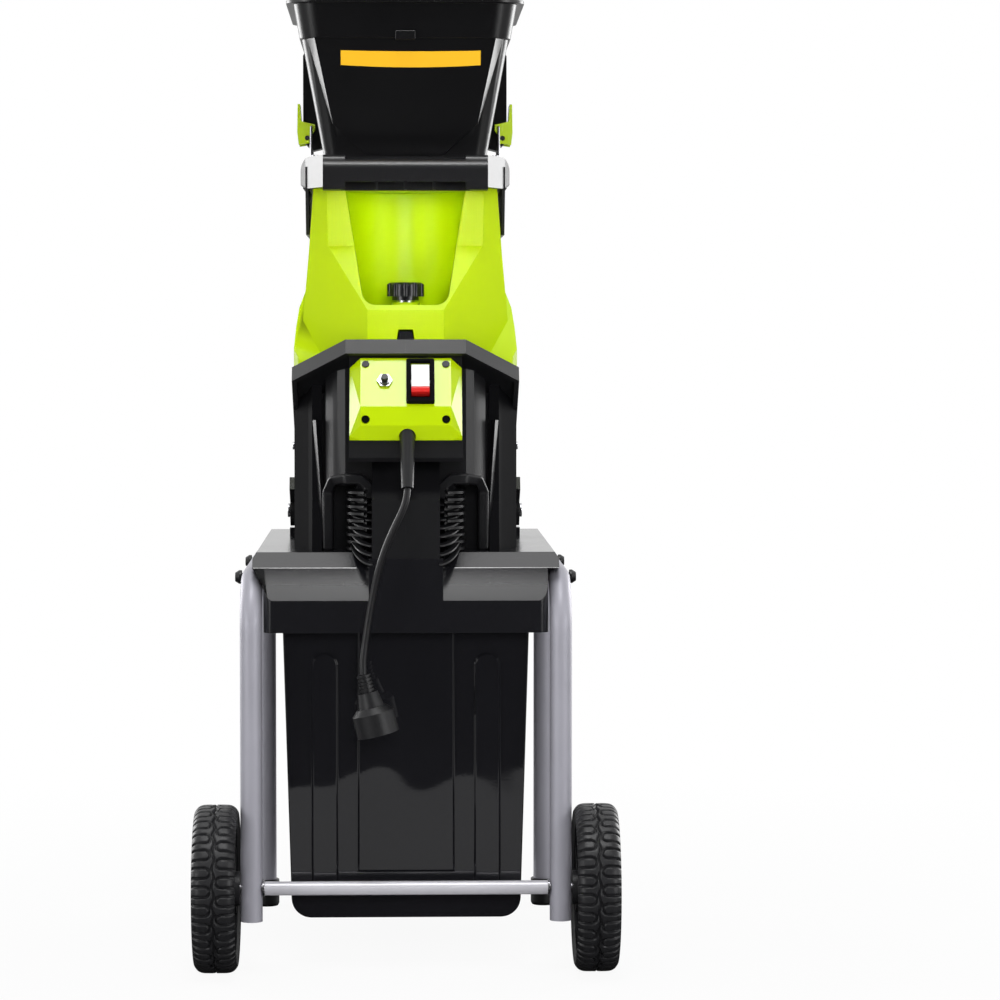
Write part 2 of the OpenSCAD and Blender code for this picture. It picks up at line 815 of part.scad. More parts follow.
module disc_plate() {
    color(steel) placed() difference() {
        on_plane() translate([0, 0, -plate_t - 2]) linear_extrude(plate_t) flange_outline(3.3);
        on_shaft() translate([0, 0, -20]) cylinder(d = 46, h = 40);
        translate([-hole_x + 6, hole_near + 6, deck_z]) cube([2 * hole_x - 12, hole_far - hole_near - 12, 300]);
        translate([0, knob_y, stud_tip - 8]) cylinder(d = stud_d + 16, h = 40);
        both_sides() on_plane() translate([body_x - 16, 0, 0]) rotate([0, 90, 0]) cylinder(r = 12, h = 20);
    }
}

module chip_chute() {
    color(black) placed() difference() {
        translate([-hole_x + 1, hole_near + 1, deck_z]) cube([2 * hole_x - 2, hole_far - hole_near - 2, 300]);
        translate([-hole_x + 4, hole_near + 4, deck_z - 1]) cube([2 * hole_x - 8, hole_far - hole_near - 8, 310]);
        above_plane(-plate_t - 2);
    }
}

module interlock_switch() {
    color(black) placed() on_plane() translate([-50, near_u + 64, -plate_t - 2 - 16]) {
        cube([10, 28, 16]);
        translate([-6, 4, 4]) cube([6, 6, 4]);
    }
}

// Drive, along the normal of the parting plane

can_top = -12;
can_low = can_top - motor_l;

module motor_can() {
    color(steel) placed() on_shaft() difference() {
        translate([0, 0, can_low]) cylinder(d = motor_d, h = motor_l);
        translate([0, 0, can_low + 14]) cylinder(d = motor_d - 6, h = motor_l);
        translate([0, 0, can_low - 1]) cylinder(d = shaft_d + 4, h = 20);
        translate([0, 0, can_low + 2]) cylinder(d = shaft_d + 23 + 2 * run_gap, h = 20);
        for (a = [0 : 45 : 315]) {
            rotate([0, 0, a]) translate([motor_d / 2 - 14, 0, can_low - 1]) cylinder(d = 12, h = 20);
        }
    }
}

module motor_flange() {
    color(steel) placed() on_shaft() difference() {
        union() {
            translate([0, 0, can_top]) cylinder(d = motor_d + 16, h = -can_top - plate_t - 2);
            translate([0, 0, can_top - 12]) cylinder(d = shaft_d + 33, h = 13);
        }
        translate([0, 0, -40]) cylinder(d = shaft_d + 4, h = 60);
        translate([0, 0, can_top - 13]) cylinder(d = shaft_d + 23 + 2 * run_gap, h = 13);
    }
}

module motor_bearings() {
    color(zinc) placed() on_shaft() {
        translate([0, 0, can_low + 2]) ring(shaft_d + 23, shaft_d + 2 * run_gap, 12);
        translate([0, 0, can_top - 12]) ring(shaft_d + 23, shaft_d + 2 * run_gap, 12);
    }
}

module stator() {
    color(copper) placed() on_shaft() translate([0, 0, can_low + 20])
        ring(motor_d - 6 - 2 * run_gap, motor_d - 34, motor_l - 38);
}

module rotor_shaft() {
    color(steel) placed() on_shaft() translate([0, 0, can_low - 13]) cylinder(d = shaft_d, h = 23 - can_low);
}

module rotor_core() {
    color(copper) placed() on_shaft() translate([0, 0, can_low + 20])
        ring(motor_d - 36, shaft_d, motor_l - 38);
}

module fan() {
    color(black) placed() on_shaft() translate([0, 0, can_low - 11]) difference() {
        union() {
            cylinder(d = shaft_d + 12, h = 9);
            cylinder(d = motor_d - 14, h = 2);
            for (a = [0 : 40 : 320]) {
                rotate([0, 0, a]) translate([shaft_d / 2 + 3, -1, 0]) cube([motor_d / 2 - 12 - shaft_d / 2, 2, 9]);
            }
        }
        translate([0, 0, -1]) cylinder(d = shaft_d, h = 12);
    }
}

module blade_disc() {
    color(steel) placed() on_shaft() translate([0, 0, 10]) difference() {
        cylinder(r = disc_r, h = disc_t);
        for (a = [0, 180]) {
            rotate([0, 0, a]) {
                translate([28, 17, -1]) cube([52, 9, disc_t + 2]);
                for (x = [40, 66]) {
                    translate([x, 4, -1]) cylinder(d = 8, h = disc_t + 2);
                }
            }
        }
        translate([0, 0, -1]) cylinder(d = 10, h = disc_t + 2);
    }
}

module blades() {
    color(zinc) placed() on_shaft() translate([0, 0, 10 + disc_t]) for (a = [0, 180]) {
        rotate([0, 0, a]) difference() {
            along_x(27, 81) polygon([[-9, 0], [17, 0], [21, 4], [-13, 4]]);
            for (x = [40, 66]) {
                translate([x, 4, -1]) cylinder(d = 8, h = 6);
            }
        }
    }
}

module blade_screws() {
    color(steel) placed() on_shaft() translate([0, 0, 12]) for (a = [0, 180], x = [40, 66]) {
        rotate([0, 0, a]) translate([x, 4, 0]) {
            cylinder(d = 8 - 2 * run_gap, h = disc_t + 2);
            translate([0, 0, disc_t + 2]) cylinder(d = 12, h = 2.5);
        }
    }
}

module disc_bolt() {
    color(zinc) placed() on_shaft() {
        translate([0, 0, 10]) cylinder(d = 10 - 2 * run_gap, h = disc_t);
        translate([0, 0, 10 + disc_t]) cylinder(d = 26, h = 2);
        translate([0, 0, 12 + disc_t]) cylinder(d = 17, h = 5, $fn = 6);
    }
}

// Upper housing

module upper_body(inset) {
    intersection() {
        along_y(-50, 500) polygon([
            [-upper_x + inset, deck_z - 60], [upper_x - inset, deck_z - 60], [upper_x - inset, apron_z - 31],
            [upper_x - 8 - inset, upper_z - 66], [upper_x - 13 - inset, upper_z - inset],
            [-upper_x + 13 + inset, upper_z - inset], [-upper_x + 8 + inset, upper_z - 66],
            [-upper_x + inset, apron_z - 31],
        ]);
        along_x(-200, 200) polygon([
            [flange_y + inset, deck_z - 60], [flange_y + inset, apron_z], [flange_y + 40 + inset, crease_z],
            [flange_y + 41 + inset, upper_z - inset], [298 - inset, upper_z - inset],
            [upper_far - 6 - inset, deck_z + 200], [upper_far - inset, deck_z - 60],
        ]);
        linear_extrude(1000) polygon([
            [-38 + inset / 2, flange_y + inset], [38 - inset / 2, flange_y + inset],
            [upper_x - inset, flange_y + 68 + inset / 2], [upper_x - inset, upper_far - 16 - inset],
            [upper_x - 16 - inset / 2, upper_far - inset], [-upper_x + 16 + inset / 2, upper_far - inset],
            [-upper_x + inset, upper_far - 16 - inset], [-upper_x + inset, flange_y + 68 + inset / 2],
        ]);
    }
}

// Wider cheeks that rise from the parting plane to a point at the near side
module cheeks(inset) {
    intersection() {
        along_y(-50, 500) polygon([
            [-cheek_x + inset, deck_z - 60], [cheek_x - inset, deck_z - 60], [cheek_x - inset, cheek_z - 61],
            [cheek_x - 2 - inset, cheek_z - 39], [cheek_x - 5 - inset, cheek_z - 19], [cheek_x - 12 - inset, cheek_z - inset],
            [-cheek_x + 12 + inset, cheek_z - inset], [-cheek_x + 5 + inset, cheek_z - 19],
            [-cheek_x + 2 + inset, cheek_z - 39], [-cheek_x + inset, cheek_z - 61],
        ]);
        along_x(-200, 200) polygon([
            [flange_y + 30 + inset, deck_z - 60], [flange_y + 44 + inset, cheek_z - 72], [flange_y + 84 + inset, cheek_z],
            [240, cheek_z - 24 - inset], [upper_far - inset, deck_z + 150], [upper_far - inset, deck_z - 60],
        ]);
        linear_extrude(1000) polygon([
            [-flange_x, flange_y + inset], [flange_x, flange_y + inset], [cheek_x - inset, flange_y + 50 + inset],
            [cheek_x - inset, upper_far - 14], [cheek_x - 14, upper_far - inset], [-cheek_x + 14, upper_far - inset],
            [-cheek_x + inset, upper_far - 14], [-cheek_x + inset, flange_y + 50 + inset],
        ]);
    }
}

// Hand recess, grown all round by the given amount
module recess(grow) {
    half_low = recess_low_w / 2 + grow;
    half_top = recess_top_w / 2 + grow;
    r = 14;
    intersection() {
        along_y(-60, 200) polygon(concat(
            [[half_top + 2, upper_z + 20]],
            [[-half_top - 2, upper_z + 20]],
            arc(-half_low + r, recess_z - grow + r, r, 190, 270, 6),
            arc(half_low - r, recess_z - grow + r, r, 270, 350, 6)
        ));
        union() {
            translate([0, recess_y, 0]) cylinder(r = recess_r + grow, h = 1000);
            translate([-recess_r - grow, -60, 0]) cube([2 * (recess_r + grow), recess_y + 60, 1000]);
        }
    }
}

module duct(grow) {
    translate([-duct_x - grow, duct_near - grow, deck_z]) cube([2 * (duct_x + grow), duct_far - duct_near + 2 * grow, 600]);
}

module upper_housing() {
    color(green) placed() {
        difference() {
            union() {
                difference() {
                    union() {
                        upper_body(0);
                        cheeks(0);
                    }
                    intersection() {
                        recess(0);
                        translate([-200, -200, 0]) cube([400, 600, upper_z - wall]);
                    }
                    difference() {
                        union() {
                            upper_body(wall);
                            cheeks(wall);
                        }
                        recess(wall);
                        difference() {
                            duct(wall);
                            below_plane(-28);
                        }
                        translate([0, knob_y, deck_z]) cylinder(d = stud_d + 12, h = 400);
                    }
                    duct(0);
                }
                translate([0, knob_y, recess_z - 1]) cylinder(d = stud_d + 20, h = 4);
            }
            below_plane(-part_gap);
            both_sides() on_plane() translate([body_x - 16, 0, 0]) rotate([0, 90, 0]) cylinder(r = 11.5, h = 17);
            translate([0, knob_y, deck_z]) cylinder(d = stud_d + 2 * slide_gap, h = 400);
            translate([0, 0, hinge_z + (hinge_y - flange_y) * tan(part_tilt) - 6])
                along_y(flange_y - 10, flange_y + 10) polygon([[-10, 0], [10, 0], [7.2, 16], [-7.2, 16]]);
        }
    }
}

// Discs on the hinge axis with the arms that carry the upper housing
module hinge_arms() {
    color(black) placed() both_sides() on_plane() difference() {
        union() {
            translate([body_x + 2, 0, 0]) rotate([0, 90, 0]) cylinder(d = hinge_disc_d, h = hinge_disc_t);
            translate([cheek_x, -48, 1]) cube([body_x + 2 + hinge_disc_t - cheek_x, 48, hinge_disc_d / 2 - 2]);
        }
        translate([body_x - 16, 0, 0]) rotate([0, 90, 0]) cylinder(r = 11.5, h = 17);
        translate([body_x - 5, 0, 0]) rotate([0, 90, 0]) cylinder(d = hinge_pin_d + 2 * run_gap, h = 40);
    }
}

module hinge_pins() {
    color(zinc) placed() both_sides() on_plane() translate([body_x - 14, 0, 0]) rotate([0, 90, 0]) {
        cylinder(d = hinge_pin_d, h = 16 + hinge_disc_t + slide_gap);
        translate([0, 0, 16 + hinge_disc_t + slide_gap]) cylinder(d = hinge_pin_d + 7, h = 2.5);
    }
}

// Handle frame with the ribbed grip bar

module grip_section(inset) {
    w = grip_d - 2 * inset;
    h = grip_h - inset;
    translate([grip_y + inset, grip_z]) {
        square([w, h - 10 + inset]);
        translate([10 - inset, 0]) square([w - 20 + 2 * inset, h]);
        translate([10 - inset, h - 10 + inset]) circle(10 - inset);
        translate([w - 10 + inset, h - 10 + inset]) circle(10 - inset);
    }
}

module collar_section() {
    polygon(concat(
        [[-collar_x + 8, upper_z], [collar_x - 8, upper_z], [collar_x, upper_z + 6]],
        arc(collar_x - 12, collar_z - 12, 12, 0, 90, 6),
        arc(-collar_x + 12, collar_z - 12, 12, 90, 180, 6),
        [[-collar_x, upper_z + 6]]
    ));
}

module collar_plan() {
    polygon([
        [-grip_w / 2, grip_y + 7], [grip_w / 2, grip_y + 7], [collar_x - 6, grip_y + 50],
        [collar_x, grip_y + 94], [collar_x, collar_far - 16],
        [collar_x - 16, collar_far], [-collar_x + 16, collar_far], [-collar_x, collar_far - 16],
        [-collar_x, grip_y + 94], [-collar_x + 6, grip_y + 50],
    ]);
}

module handle_frame() {
    color(black) placed() {
        difference() {
            union() {
                difference() {
                    intersection() {
                        along_y(grip_y, collar_far) collar_section();
                        linear_extrude(1200) collar_plan();
                    }
                    translate([-grip_w / 2 + 22, grip_y - 5, upper_z - 5])
                        cube([grip_w - 44, collar_near - grip_y + 5, collar_h + 10]);
                }
                both_sides() along_x(upper_x - 8, upper_x - 5) polygon([
                    [collar_near + 6, upper_z + 22], [collar_near + 6, upper_z], [collar_near + 30, upper_z - 46],
                    [230, upper_z - 46], [256, upper_z], [256, upper_z + 22],
                ]);
                difference() {
                    along_x(-grip_w / 2, grip_w / 2) grip_section(0);
                    for (x = [-60.5, -27.5, 1.5, 30.5]) {
                        translate([x, grip_y - 1, grip_z - 1]) cube([abs(x) > 30 ? 30 : 26, 7, 9]);
                    }
                    difference() {
                        along_x(-grip_w / 2 + 18, grip_w / 2 - 18) translate([0, -1]) grip_section(3.5);
                        for (x = [-29, 0, 29]) {
                            translate([x - 1.5, 0, grip_z + 2]) cube([3, 80, grip_h]);
                        }
                    }
                }
            }
            difference() {
                translate([0, (neck_near + neck_far) / 2, upper_z - 60]) linear_extrude(200)
                    round_box(2 * (neck_x + slide_gap), neck_far - neck_near + 2 * slide_gap, 14 + slide_gap);
                both_sides() translate([upper_x - 8.5, 0, 0]) cube([20, 600, upper_z]);
            }
            both_sides() translate([neck_x + 5, latch_y - bail_y - 8, upper_z + 2]) cube([40, 2 * bail_y + 16, 60]);
            upper_body(-part_gap);
            both_sides() for (y = [collar_near + 12, collar_far - 6]) {
                translate([neck_x + 9, y, collar_z - 18]) cylinder(d = 4 + 2 * run_gap, h = 30);
            }
        }
        both_sides() translate([neck_x + 3, latch_y - ear_w / 2 - 2, collar_z - ledge_t])
            cube([bail_x + 4 - neck_x - 3, ear_w + 4, ledge_t]);
    }
}

module handle_screws() {
    color(zinc) placed() both_sides() for (y = [collar_near + 12, collar_far - 6]) {
        translate([neck_x + 9, y, collar_z - 18]) {
            cylinder(d = 4, h = 18);
            translate([0, 0, 18]) cylinder(d = 8, h = 2);
        }
    }
}

// Hopper

module slab(w, y0, y1, r, z) {
    translate([0, (y0 + y1) / 2, z]) linear_extrude(0.1) round_box(2 * w, y1 - y0, r);
}

module bowl(inset) {
    hull() {
        slab(neck_x - inset, neck_near + inset, neck_far - inset, inset > 0 ? 8 : 14, collar_z + 4 - (inset > 0 ? 0.3 : 0));
        slab(bowl_x - inset, rim_near + 24 + inset, rim_far - 14 - inset, inset > 0 ? 15 : 20, bowl_z - (inset > 0 ? -0.9 : 0.1));
    }
}

// Front of the bowl, standing proud of the neck, with swept flanks and a V-shaped lower edge
module shield_plate(back, top, low, foot) {
    lean = atan2(neck_near - rim_near - 17, bowl_h - 2);
    run = (bowl_h - 2) / cos(lean) + 6;
    translate([0, neck_near - 2 + back, collar_z + 2]) rotate([lean + 90, 0, 0]) linear_extrude(0.2) polygon([
        [-foot, 0], [foot, 0], [low, 32], [top, run], [-top, run], [-low, 32],
    ]);
}

module shield() {
    intersection() {
        hull() {
            shield_plate(0, bowl_x - 12, neck_x - 10, 38);
            shield_plate(22, bowl_x - 1, neck_x - 7, 46);
        }
        translate([-200, -100, collar_z + 2]) cube([400, 500, bowl_h - 2]);
    }
}

module hopper() {
    color(black) placed() difference() {
        union() {
            bowl(0);
            shield();
            translate([0, (neck_near + neck_far) / 2, upper_z])
                linear_extrude(collar_h + 8) round_box(2 * neck_x, neck_far - neck_near, 14);
            both_sides() along_y(latch_y - ear_w / 2, latch_y + ear_w / 2) polygon([
                [neck_x - 3, pivot_z - 9], [latch_x - 5, pivot_z - 13], [ear_x, pivot_z - 3], [ear_x, bowl_z - 8],
                [bowl_x - 1, bowl_z - 3], [neck_x - 3, bowl_z - 3],
            ]);
        }
        bowl(hopper_wall);
        translate([0, (neck_near + neck_far) / 2, upper_z - 1]) linear_extrude(collar_h + 13)
            round_box(2 * (neck_x - hopper_wall), neck_far - neck_near - 2 * hopper_wall, 8);
        both_sides() translate([latch_x, latch_y - 40, pivot_z]) rotate([-90, 0, 0]) cylinder(d = 5 + 2 * run_gap, h = 80);
    }
}

module rim_flare(inset) {
    hull() {
        slab(bowl_x + 2 - inset, rim_near + 12 + inset, rim_far - 10 - inset, 22, bowl_z - (inset > 0 ? 2 : 0));
        slab(bowl_x + 8 - inset, rim_near + 6 + inset, rim_far - 5 - inset, 24, rim_top - lip_t + (inset > 0 ? 8 : 0));
    }
}

module hopper_rim() {
    color(black) placed() difference() {
        union() {
            rim_flare(0);
            translate([0, (rim_near + rim_far) / 2, rim_top - lip_t]) linear_extrude(lip_t)
                round_box(2 * lip_x, rim_far - rim_near, 30);
            translate([-10, rim_near + 8, bowl_z - 2]) cube([20, 6.5, 9]);
        }
        rim_flare(hopper_wall + 1);
    }
}

module splash_guard() {
    color(rubber) placed() difference() {
        translate([0, (neck_near + neck_far) / 2, collar_z])
            linear_extrude(2.5) round_box(2 * (neck_x - hopper_wall), neck_far - neck_near - 2 * hopper_wall, 11);
        for (x = [-56 : 16 : 56]) {
            translate([x - 1, neck_near + 24, collar_z - 1]) cube([2, neck_far - neck_near - 48, 5]);
        }
    }
}

module latch_pins() {
    color(zinc) placed() both_sides() translate([latch_x, latch_y - ear_w / 2 - 7, pivot_z])
        rotate([-90, 0, 0]) cylinder(d = 5, h = ear_w + 14);
}

module lever() {
    plate = ear_x + 1.5 - latch_x;
    translate([latch_x, latch_y, pivot_z]) difference() {
        union() {
            along_y(-ear_w / 2 - 6, ear_w / 2 + 6) polygon([
                [plate, 8], [plate + 4.5, 6], [plate + 4, lever_h], [plate + 1.5, lever_h], [plate, 12],
            ]);
            for (s = [-1, 1]) {
                translate([0, s * (ear_w / 2 + 3.5), 0]) along_y(-2.5, 2.5) polygon([
                    [-4.5, -5], [plate + 3, -7], [plate + 4.5, 6], [plate + 2, 18], [2, 16], [-8, 14], [-8, 8], [-4.5, 3],
                ]);
            }
        }
        translate([0, -60, 0]) rotate([-90, 0, 0]) cylinder(d = 5 + 2 * run_gap, h = 120);
        translate([bail_x - latch_x, -60, bail_z - pivot_z]) rotate([-90, 0, 0])
            cylinder(d = wire_d + 2 * run_gap, h = 120);
    }
}

module left_lever() {
    color(green) placed() left_side() lever();
}

module right_lever() {
    color(green) placed() lever();
}

// Wire bail: two legs outside the lever cheeks, joined by a bar under the ledge of the handle frame
module bail() {
    translate([bail_x, latch_y, 0]) {
        for (s = [-1, 1]) {
            translate([0, s * bail_y, bail_bar]) cylinder(d = wire_d, h = bail_z - bail_bar);
            translate([0, s * bail_y, bail_z]) sphere(d = wire_d);
            translate([0, s * bail_y, bail_bar]) sphere(d = wire_d);
            translate([0, s * (ear_w / 4 + 0.9 + bail_y / 2) - (bail_y - ear_w / 2 - 1.8) / 2, bail_z])
                rotate([-90, 0, 0]) cylinder(d = wire_d, h = bail_y - ear_w / 2 - 1.8);
        }
        translate([0, -bail_y, bail_bar]) rotate([-90, 0, 0]) cylinder(d = wire_d, h = 2 * bail_y);
    }
}

module left_bail() {
    color(zinc) placed() left_side() bail();
}

module right_bail() {
    color(zinc) placed() bail();
}

// Locking knob

module lock_knob() {
    color(black) placed() translate([0, knob_y, knob_low]) difference() {
        union() {
            cylinder(d = knob_d - 11, h = 4);
            translate([0, 0, 4]) cylinder(d = knob_d, h = knob_h - 2);
            translate([0, 0, knob_h + 2]) cylinder(d1 = knob_d, d2 = knob_d - 6, h = 2);
        }
        for (a = [0 : 30 : 330]) {
            rotate([0, 0, a]) translate([knob_d / 2 + 1, 0, 3]) cylinder(d = 6, h = knob_h + 4);
        }
        translate([0, 0, -1]) cylinder(d = stud_d + 2 * run_gap, h = knob_h - 2);
    }
}

module lock_stud() {
    color(zinc) placed() translate([0, knob_y, stud_tip]) cylinder(d = stud_d, h = knob_low + knob_h - 4 - stud_tip);
}

module knob_washer() {
    color(zinc) placed() translate([0, knob_y, recess_z + 3]) ring(stud_d + 12, stud_d + 2 * run_gap, 2);
}

// Control box

function panel_profile(d) = [
    [panel_y + d, panel_z - 1.4 * d],
    [panel_low_y + d, panel_low_z],
    [panel_low_y + d, band_low_z],
    [panel_low_y + 10 + 0.6 * d, box_low + d],
    [panel_low_y + 15 + 3 * d, box_low + d],
    [panel_y + 13 + 3 * d, panel_z - 1.4 * d],
];

function sliver_profile(d) = [
    [panel_y + 5, panel_z - 10 - d],
    [panel_low_y + 10, box_low + 4 + d],
    [panel_low_y + 15 + 3 * d, box_low + d],
    [panel_y + 9 + 3 * d, panel_z - 10 - d],
];

module cover_solid(d) {
    hull() {
        along_x(-box_w / 2 + 11 + d / 2, box_w / 2 - 11 - d / 2) polygon(panel_profile(d));
        along_x(-box_w / 2 + d, box_w / 2 - d) polygon(sliver_profile(d));
    }
}

module cover_back() {
    along_x(-200, 200) polygon([
        [panel_y + 9, panel_z + 20], [panel_y + 9, panel_z - 8], [panel_low_y + 15, box_low], [panel_low_y + 15, box_low - 40],
        [panel_y + 80, box_low - 40], [panel_y + 80, panel_z + 20],
    ]);
}

module relief_axis() {
    translate(relief_end) rotate([-relief_lean, 0, 0]) children();
}

module box_cover() {
    color(green) placed() difference() {
        cover_solid(0);
        difference() {
            cover_solid(2.5);
            for (x = [-40, 40]) {
                translate([x, panel_low_y, band_low_z + 6]) rotate([-90, 0, 0]) cylinder(d = 13, h = 50);
            }
        }
        cover_back();
        on_panel() {
            translate([switch_x - (switch_w - 5) / 2, switch_v - (switch_l - 5) / 2, -20]) cube([switch_w - 5, switch_l - 5, 40]);
            translate([-reset_x, reset_v, -20]) cylinder(d = 11 + 2 * run_gap, h = 40);
            for (x = [-40, 40]) {
                translate([x, screw_v, -20]) cylinder(d = 4.4, h = 40);
            }
        }
        for (x = [-40, 40]) {
            translate([x, panel_low_y - 10, band_low_z + 6]) rotate([-90, 0, 0]) cylinder(d = 8.4, h = 22);
            translate([x, panel_low_y - 10, band_low_z + 6]) rotate([-90, 0, 0]) cylinder(d = 4 + 2 * run_gap, h = 50);
        }
        relief_axis() translate([0, 0, 10]) cylinder(d = 17, h = 70);
        above_plane(-slab_t - part_gap);
    }
}

module box_base() {
    color(black) placed() difference() {
        intersection() {
            translate([-box_w / 2 - 0.5, panel_low_y, base_low]) cube([box_w + 1, tower_y - panel_low_y, 110]);
            along_x(-200, 200) polygon([
                [panel_y + 9 + part_gap, panel_z + 12], [panel_y + 9 + part_gap, panel_z - 8],
                [panel_low_y + 15 + part_gap, box_low],
                [panel_low_y + 13, base_low + 4], [panel_low_y + 17, base_low],
                [tower_y, base_low], [tower_y, panel_z + 12],
            ]);
        }
        difference() {
            translate([-box_w / 2 + 3, panel_low_y - 20, base_low + 22]) cube([box_w - 6, tower_y - panel_low_y + 17, 76]);
            for (x = [-40, 40]) {
                translate([x, panel_low_y, band_low_z + 6]) rotate([-90, 0, 0]) cylinder(d = 13, h = 90);
            }
        }
        for (x = [-40, 40]) {
            translate([x, panel_low_y - 10, band_low_z + 6]) rotate([-90, 0, 0]) cylinder(d = 4 + 2 * run_gap, h = 42);
        }
        relief_axis() translate([0, 0, -10]) cylinder(d = 17, h = 90);
        above_plane(-slab_t - part_gap);
    }
    color(black) placed() difference() {
        translate([relief_top[0] - 11, relief_top[1] + 3, box_low + 7]) cube([22, tower_y - relief_top[1] - 3, 8]);
        relief_axis() translate([0, 0, -10]) cylinder(d = 17, h = 90);
    }
}

module cover_screws() {
    color(zinc) placed() for (x = [-40, 40]) {
        on_panel() translate([x, screw_v, -10]) {
            cylinder(d = 4, h = 10);
            translate([0, 0, 10]) cylinder(d = 7.5, h = 1.6);
        }
        translate([x, panel_low_y + 9, band_low_z + 6]) rotate([-90, 0, 0]) {
            cylinder(d = 7.5, h = 3);
            cylinder(d = 4, h = 22);
        }
    }
}

module switch_frame() {
    color(black) placed() on_panel() translate([switch_x, switch_v, 0]) difference() {
        union() {
            linear_extrude(6) round_box(switch_w, switch_l, 2);
            translate([-(switch_w - 5.4) / 2, -(switch_l - 5.4) / 2, -13]) cube([switch_w - 5.4, switch_l - 5.4, 14]);
        }
        translate([-9.6, rocker_v - switch_v - 21.5, -12]) cube([19.2, 43, 40]);
        translate([-11.6, rocker_v - switch_v - 2.1, -2.1]) cube([23.2, 4.2, 4.2]);
    }
}

// Rocker on its own pivot, white faces outward, marked end low
module rocker() {
    color([0.95, 0.95, 0.95]) placed() on_panel() translate([switch_x, rocker_v, 0]) {
        along_x(-9, 9) polygon([
            [17.5, 1], [17.5, 5], [1, 7.5], [-14.5, 12], [-18, 10.5], [-17, 0], [-8, -6], [8, -6],
        ]);
        translate([-11, 0, 0]) rotate([0, 90, 0]) cylinder(d = 3.6, h = 22);
    }
}

module reset_nut() {
    color(zinc) placed() on_panel() translate([-reset_x, reset_v, 0]) difference() {
        union() {
            cylinder(d = 16, h = 3, $fn = 6);
            translate([0, 0, -16]) cylinder(d = 11, h = 21);
        }
        translate([0, 0, -7]) cylinder(d = reset_d + 2 * run_gap, h = 20);
    }
}

module reset_button() {
    color(black) placed() on_panel() translate([-reset_x, reset_v, -3.5]) cylinder(d = reset_d, h = 13);
}

module strain_relief() {
    color(rubber) placed() relief_axis() {
        cylinder(d1 = 12, d2 = 15.5, h = relief_run);
        translate([0, 0, relief_run]) cylinder(d = 17, h = 10);
    }
}

// Cord, a tube swept along its points

function unit(v) = v / norm(v);

function tangent(p, i) =
    i == 0 ? unit(p[1] - p[0]) : i == len(p) - 1 ? unit(p[i] - p[i - 1]) : unit(p[i + 1] - p[i - 1]);

function cord_ring(p, i, r, n) =
    let (t = tangent(p, i), a = unit(cross(t, [0, 1, 0])), b = cross(t, a))
    [for (k = [0 : n - 1]) p[i] + r * (cos(360 * k / n) * a + sin(360 * k / n) * b)];

module power_cord() {
    sides = 10;
    rings = len(cord_points);
    points = [for (i = [0 : rings - 1]) each cord_ring(cord_points, i, cord_d / 2, sides)];
    walls = [for (i = [0 : rings - 2], k = [0 : sides - 1])
        each [[i * sides + k, i * sides + (k + 1) % sides, (i + 1) * sides + k],
            [i * sides + (k + 1) % sides, (i + 1) * sides + (k + 1) % sides, (i + 1) * sides + k]]];
    ends = [[for (k = [sides - 1 : -1 : 0]) k], [for (k = [0 : sides - 1]) (rings - 1) * sides + k]];
    color(rubber) placed() polyhedron(points, concat(walls, ends));
}

module plug_axis() {
    translate(plug_top) rotate([0, 180 - plug_lean, 0]) children();
}

module plug() {
    color(rubber) placed() plug_axis() difference() {
        union() {
            for (i = [0 : 4]) {
                translate([0, 0, i * 3.6]) cylinder(d = 14, h = 2.2);
            }
            cylinder(d = 11, h = 19);
            translate([0, 0, 18]) cylinder(d1 = 20, d2 = 26, h = 16);
            translate([0, 0, 33]) cylinder(d1 = 30, d2 = plug_d, h = 6);
            translate([0, 0, 39]) cylinder(d = plug_d, h = 22);
        }
        translate([0, 0, 44]) cylinder(d = plug_d - 5, h = 20);
    }
}

module plug_pins() {
    color(zinc) placed() plug_axis() for (x = [-9.5, 9.5]) {
        translate([x, 0, 44]) cylinder(d = 4.8, h = 14);
    }
}

platform();
left_frame();
right_frame();
frame_bolts();
frame_nuts();
rear_feet();
axle_rod();
axle_spacer();
star_washers();
left_wheel();
right_wheel();
left_hub_cap();
right_hub_cap();
bin();
left_housing();
right_housing();
housing_screws();
disc_plate();
chip_chute();
interlock_switch();
motor_can();
motor_flange();
motor_bearings();
stator();
rotor_shaft();
rotor_core();
fan();
blade_disc();
blades();
blade_screws();
disc_bolt();
upper_housing();
handle_frame();
handle_screws();
hinge_arms();
hinge_pins();
lock_knob();
lock_stud();
knob_washer();
hopper();
hopper_rim();
splash_guard();
latch_pins();
left_lever();
right_lever();
left_bail();
right_bail();
box_base();
box_cover();
cover_screws();
switch_frame();
rocker();
reset_nut();
reset_button();
strain_relief();
power_cord();
plug();
plug_pins();
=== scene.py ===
import json
import math

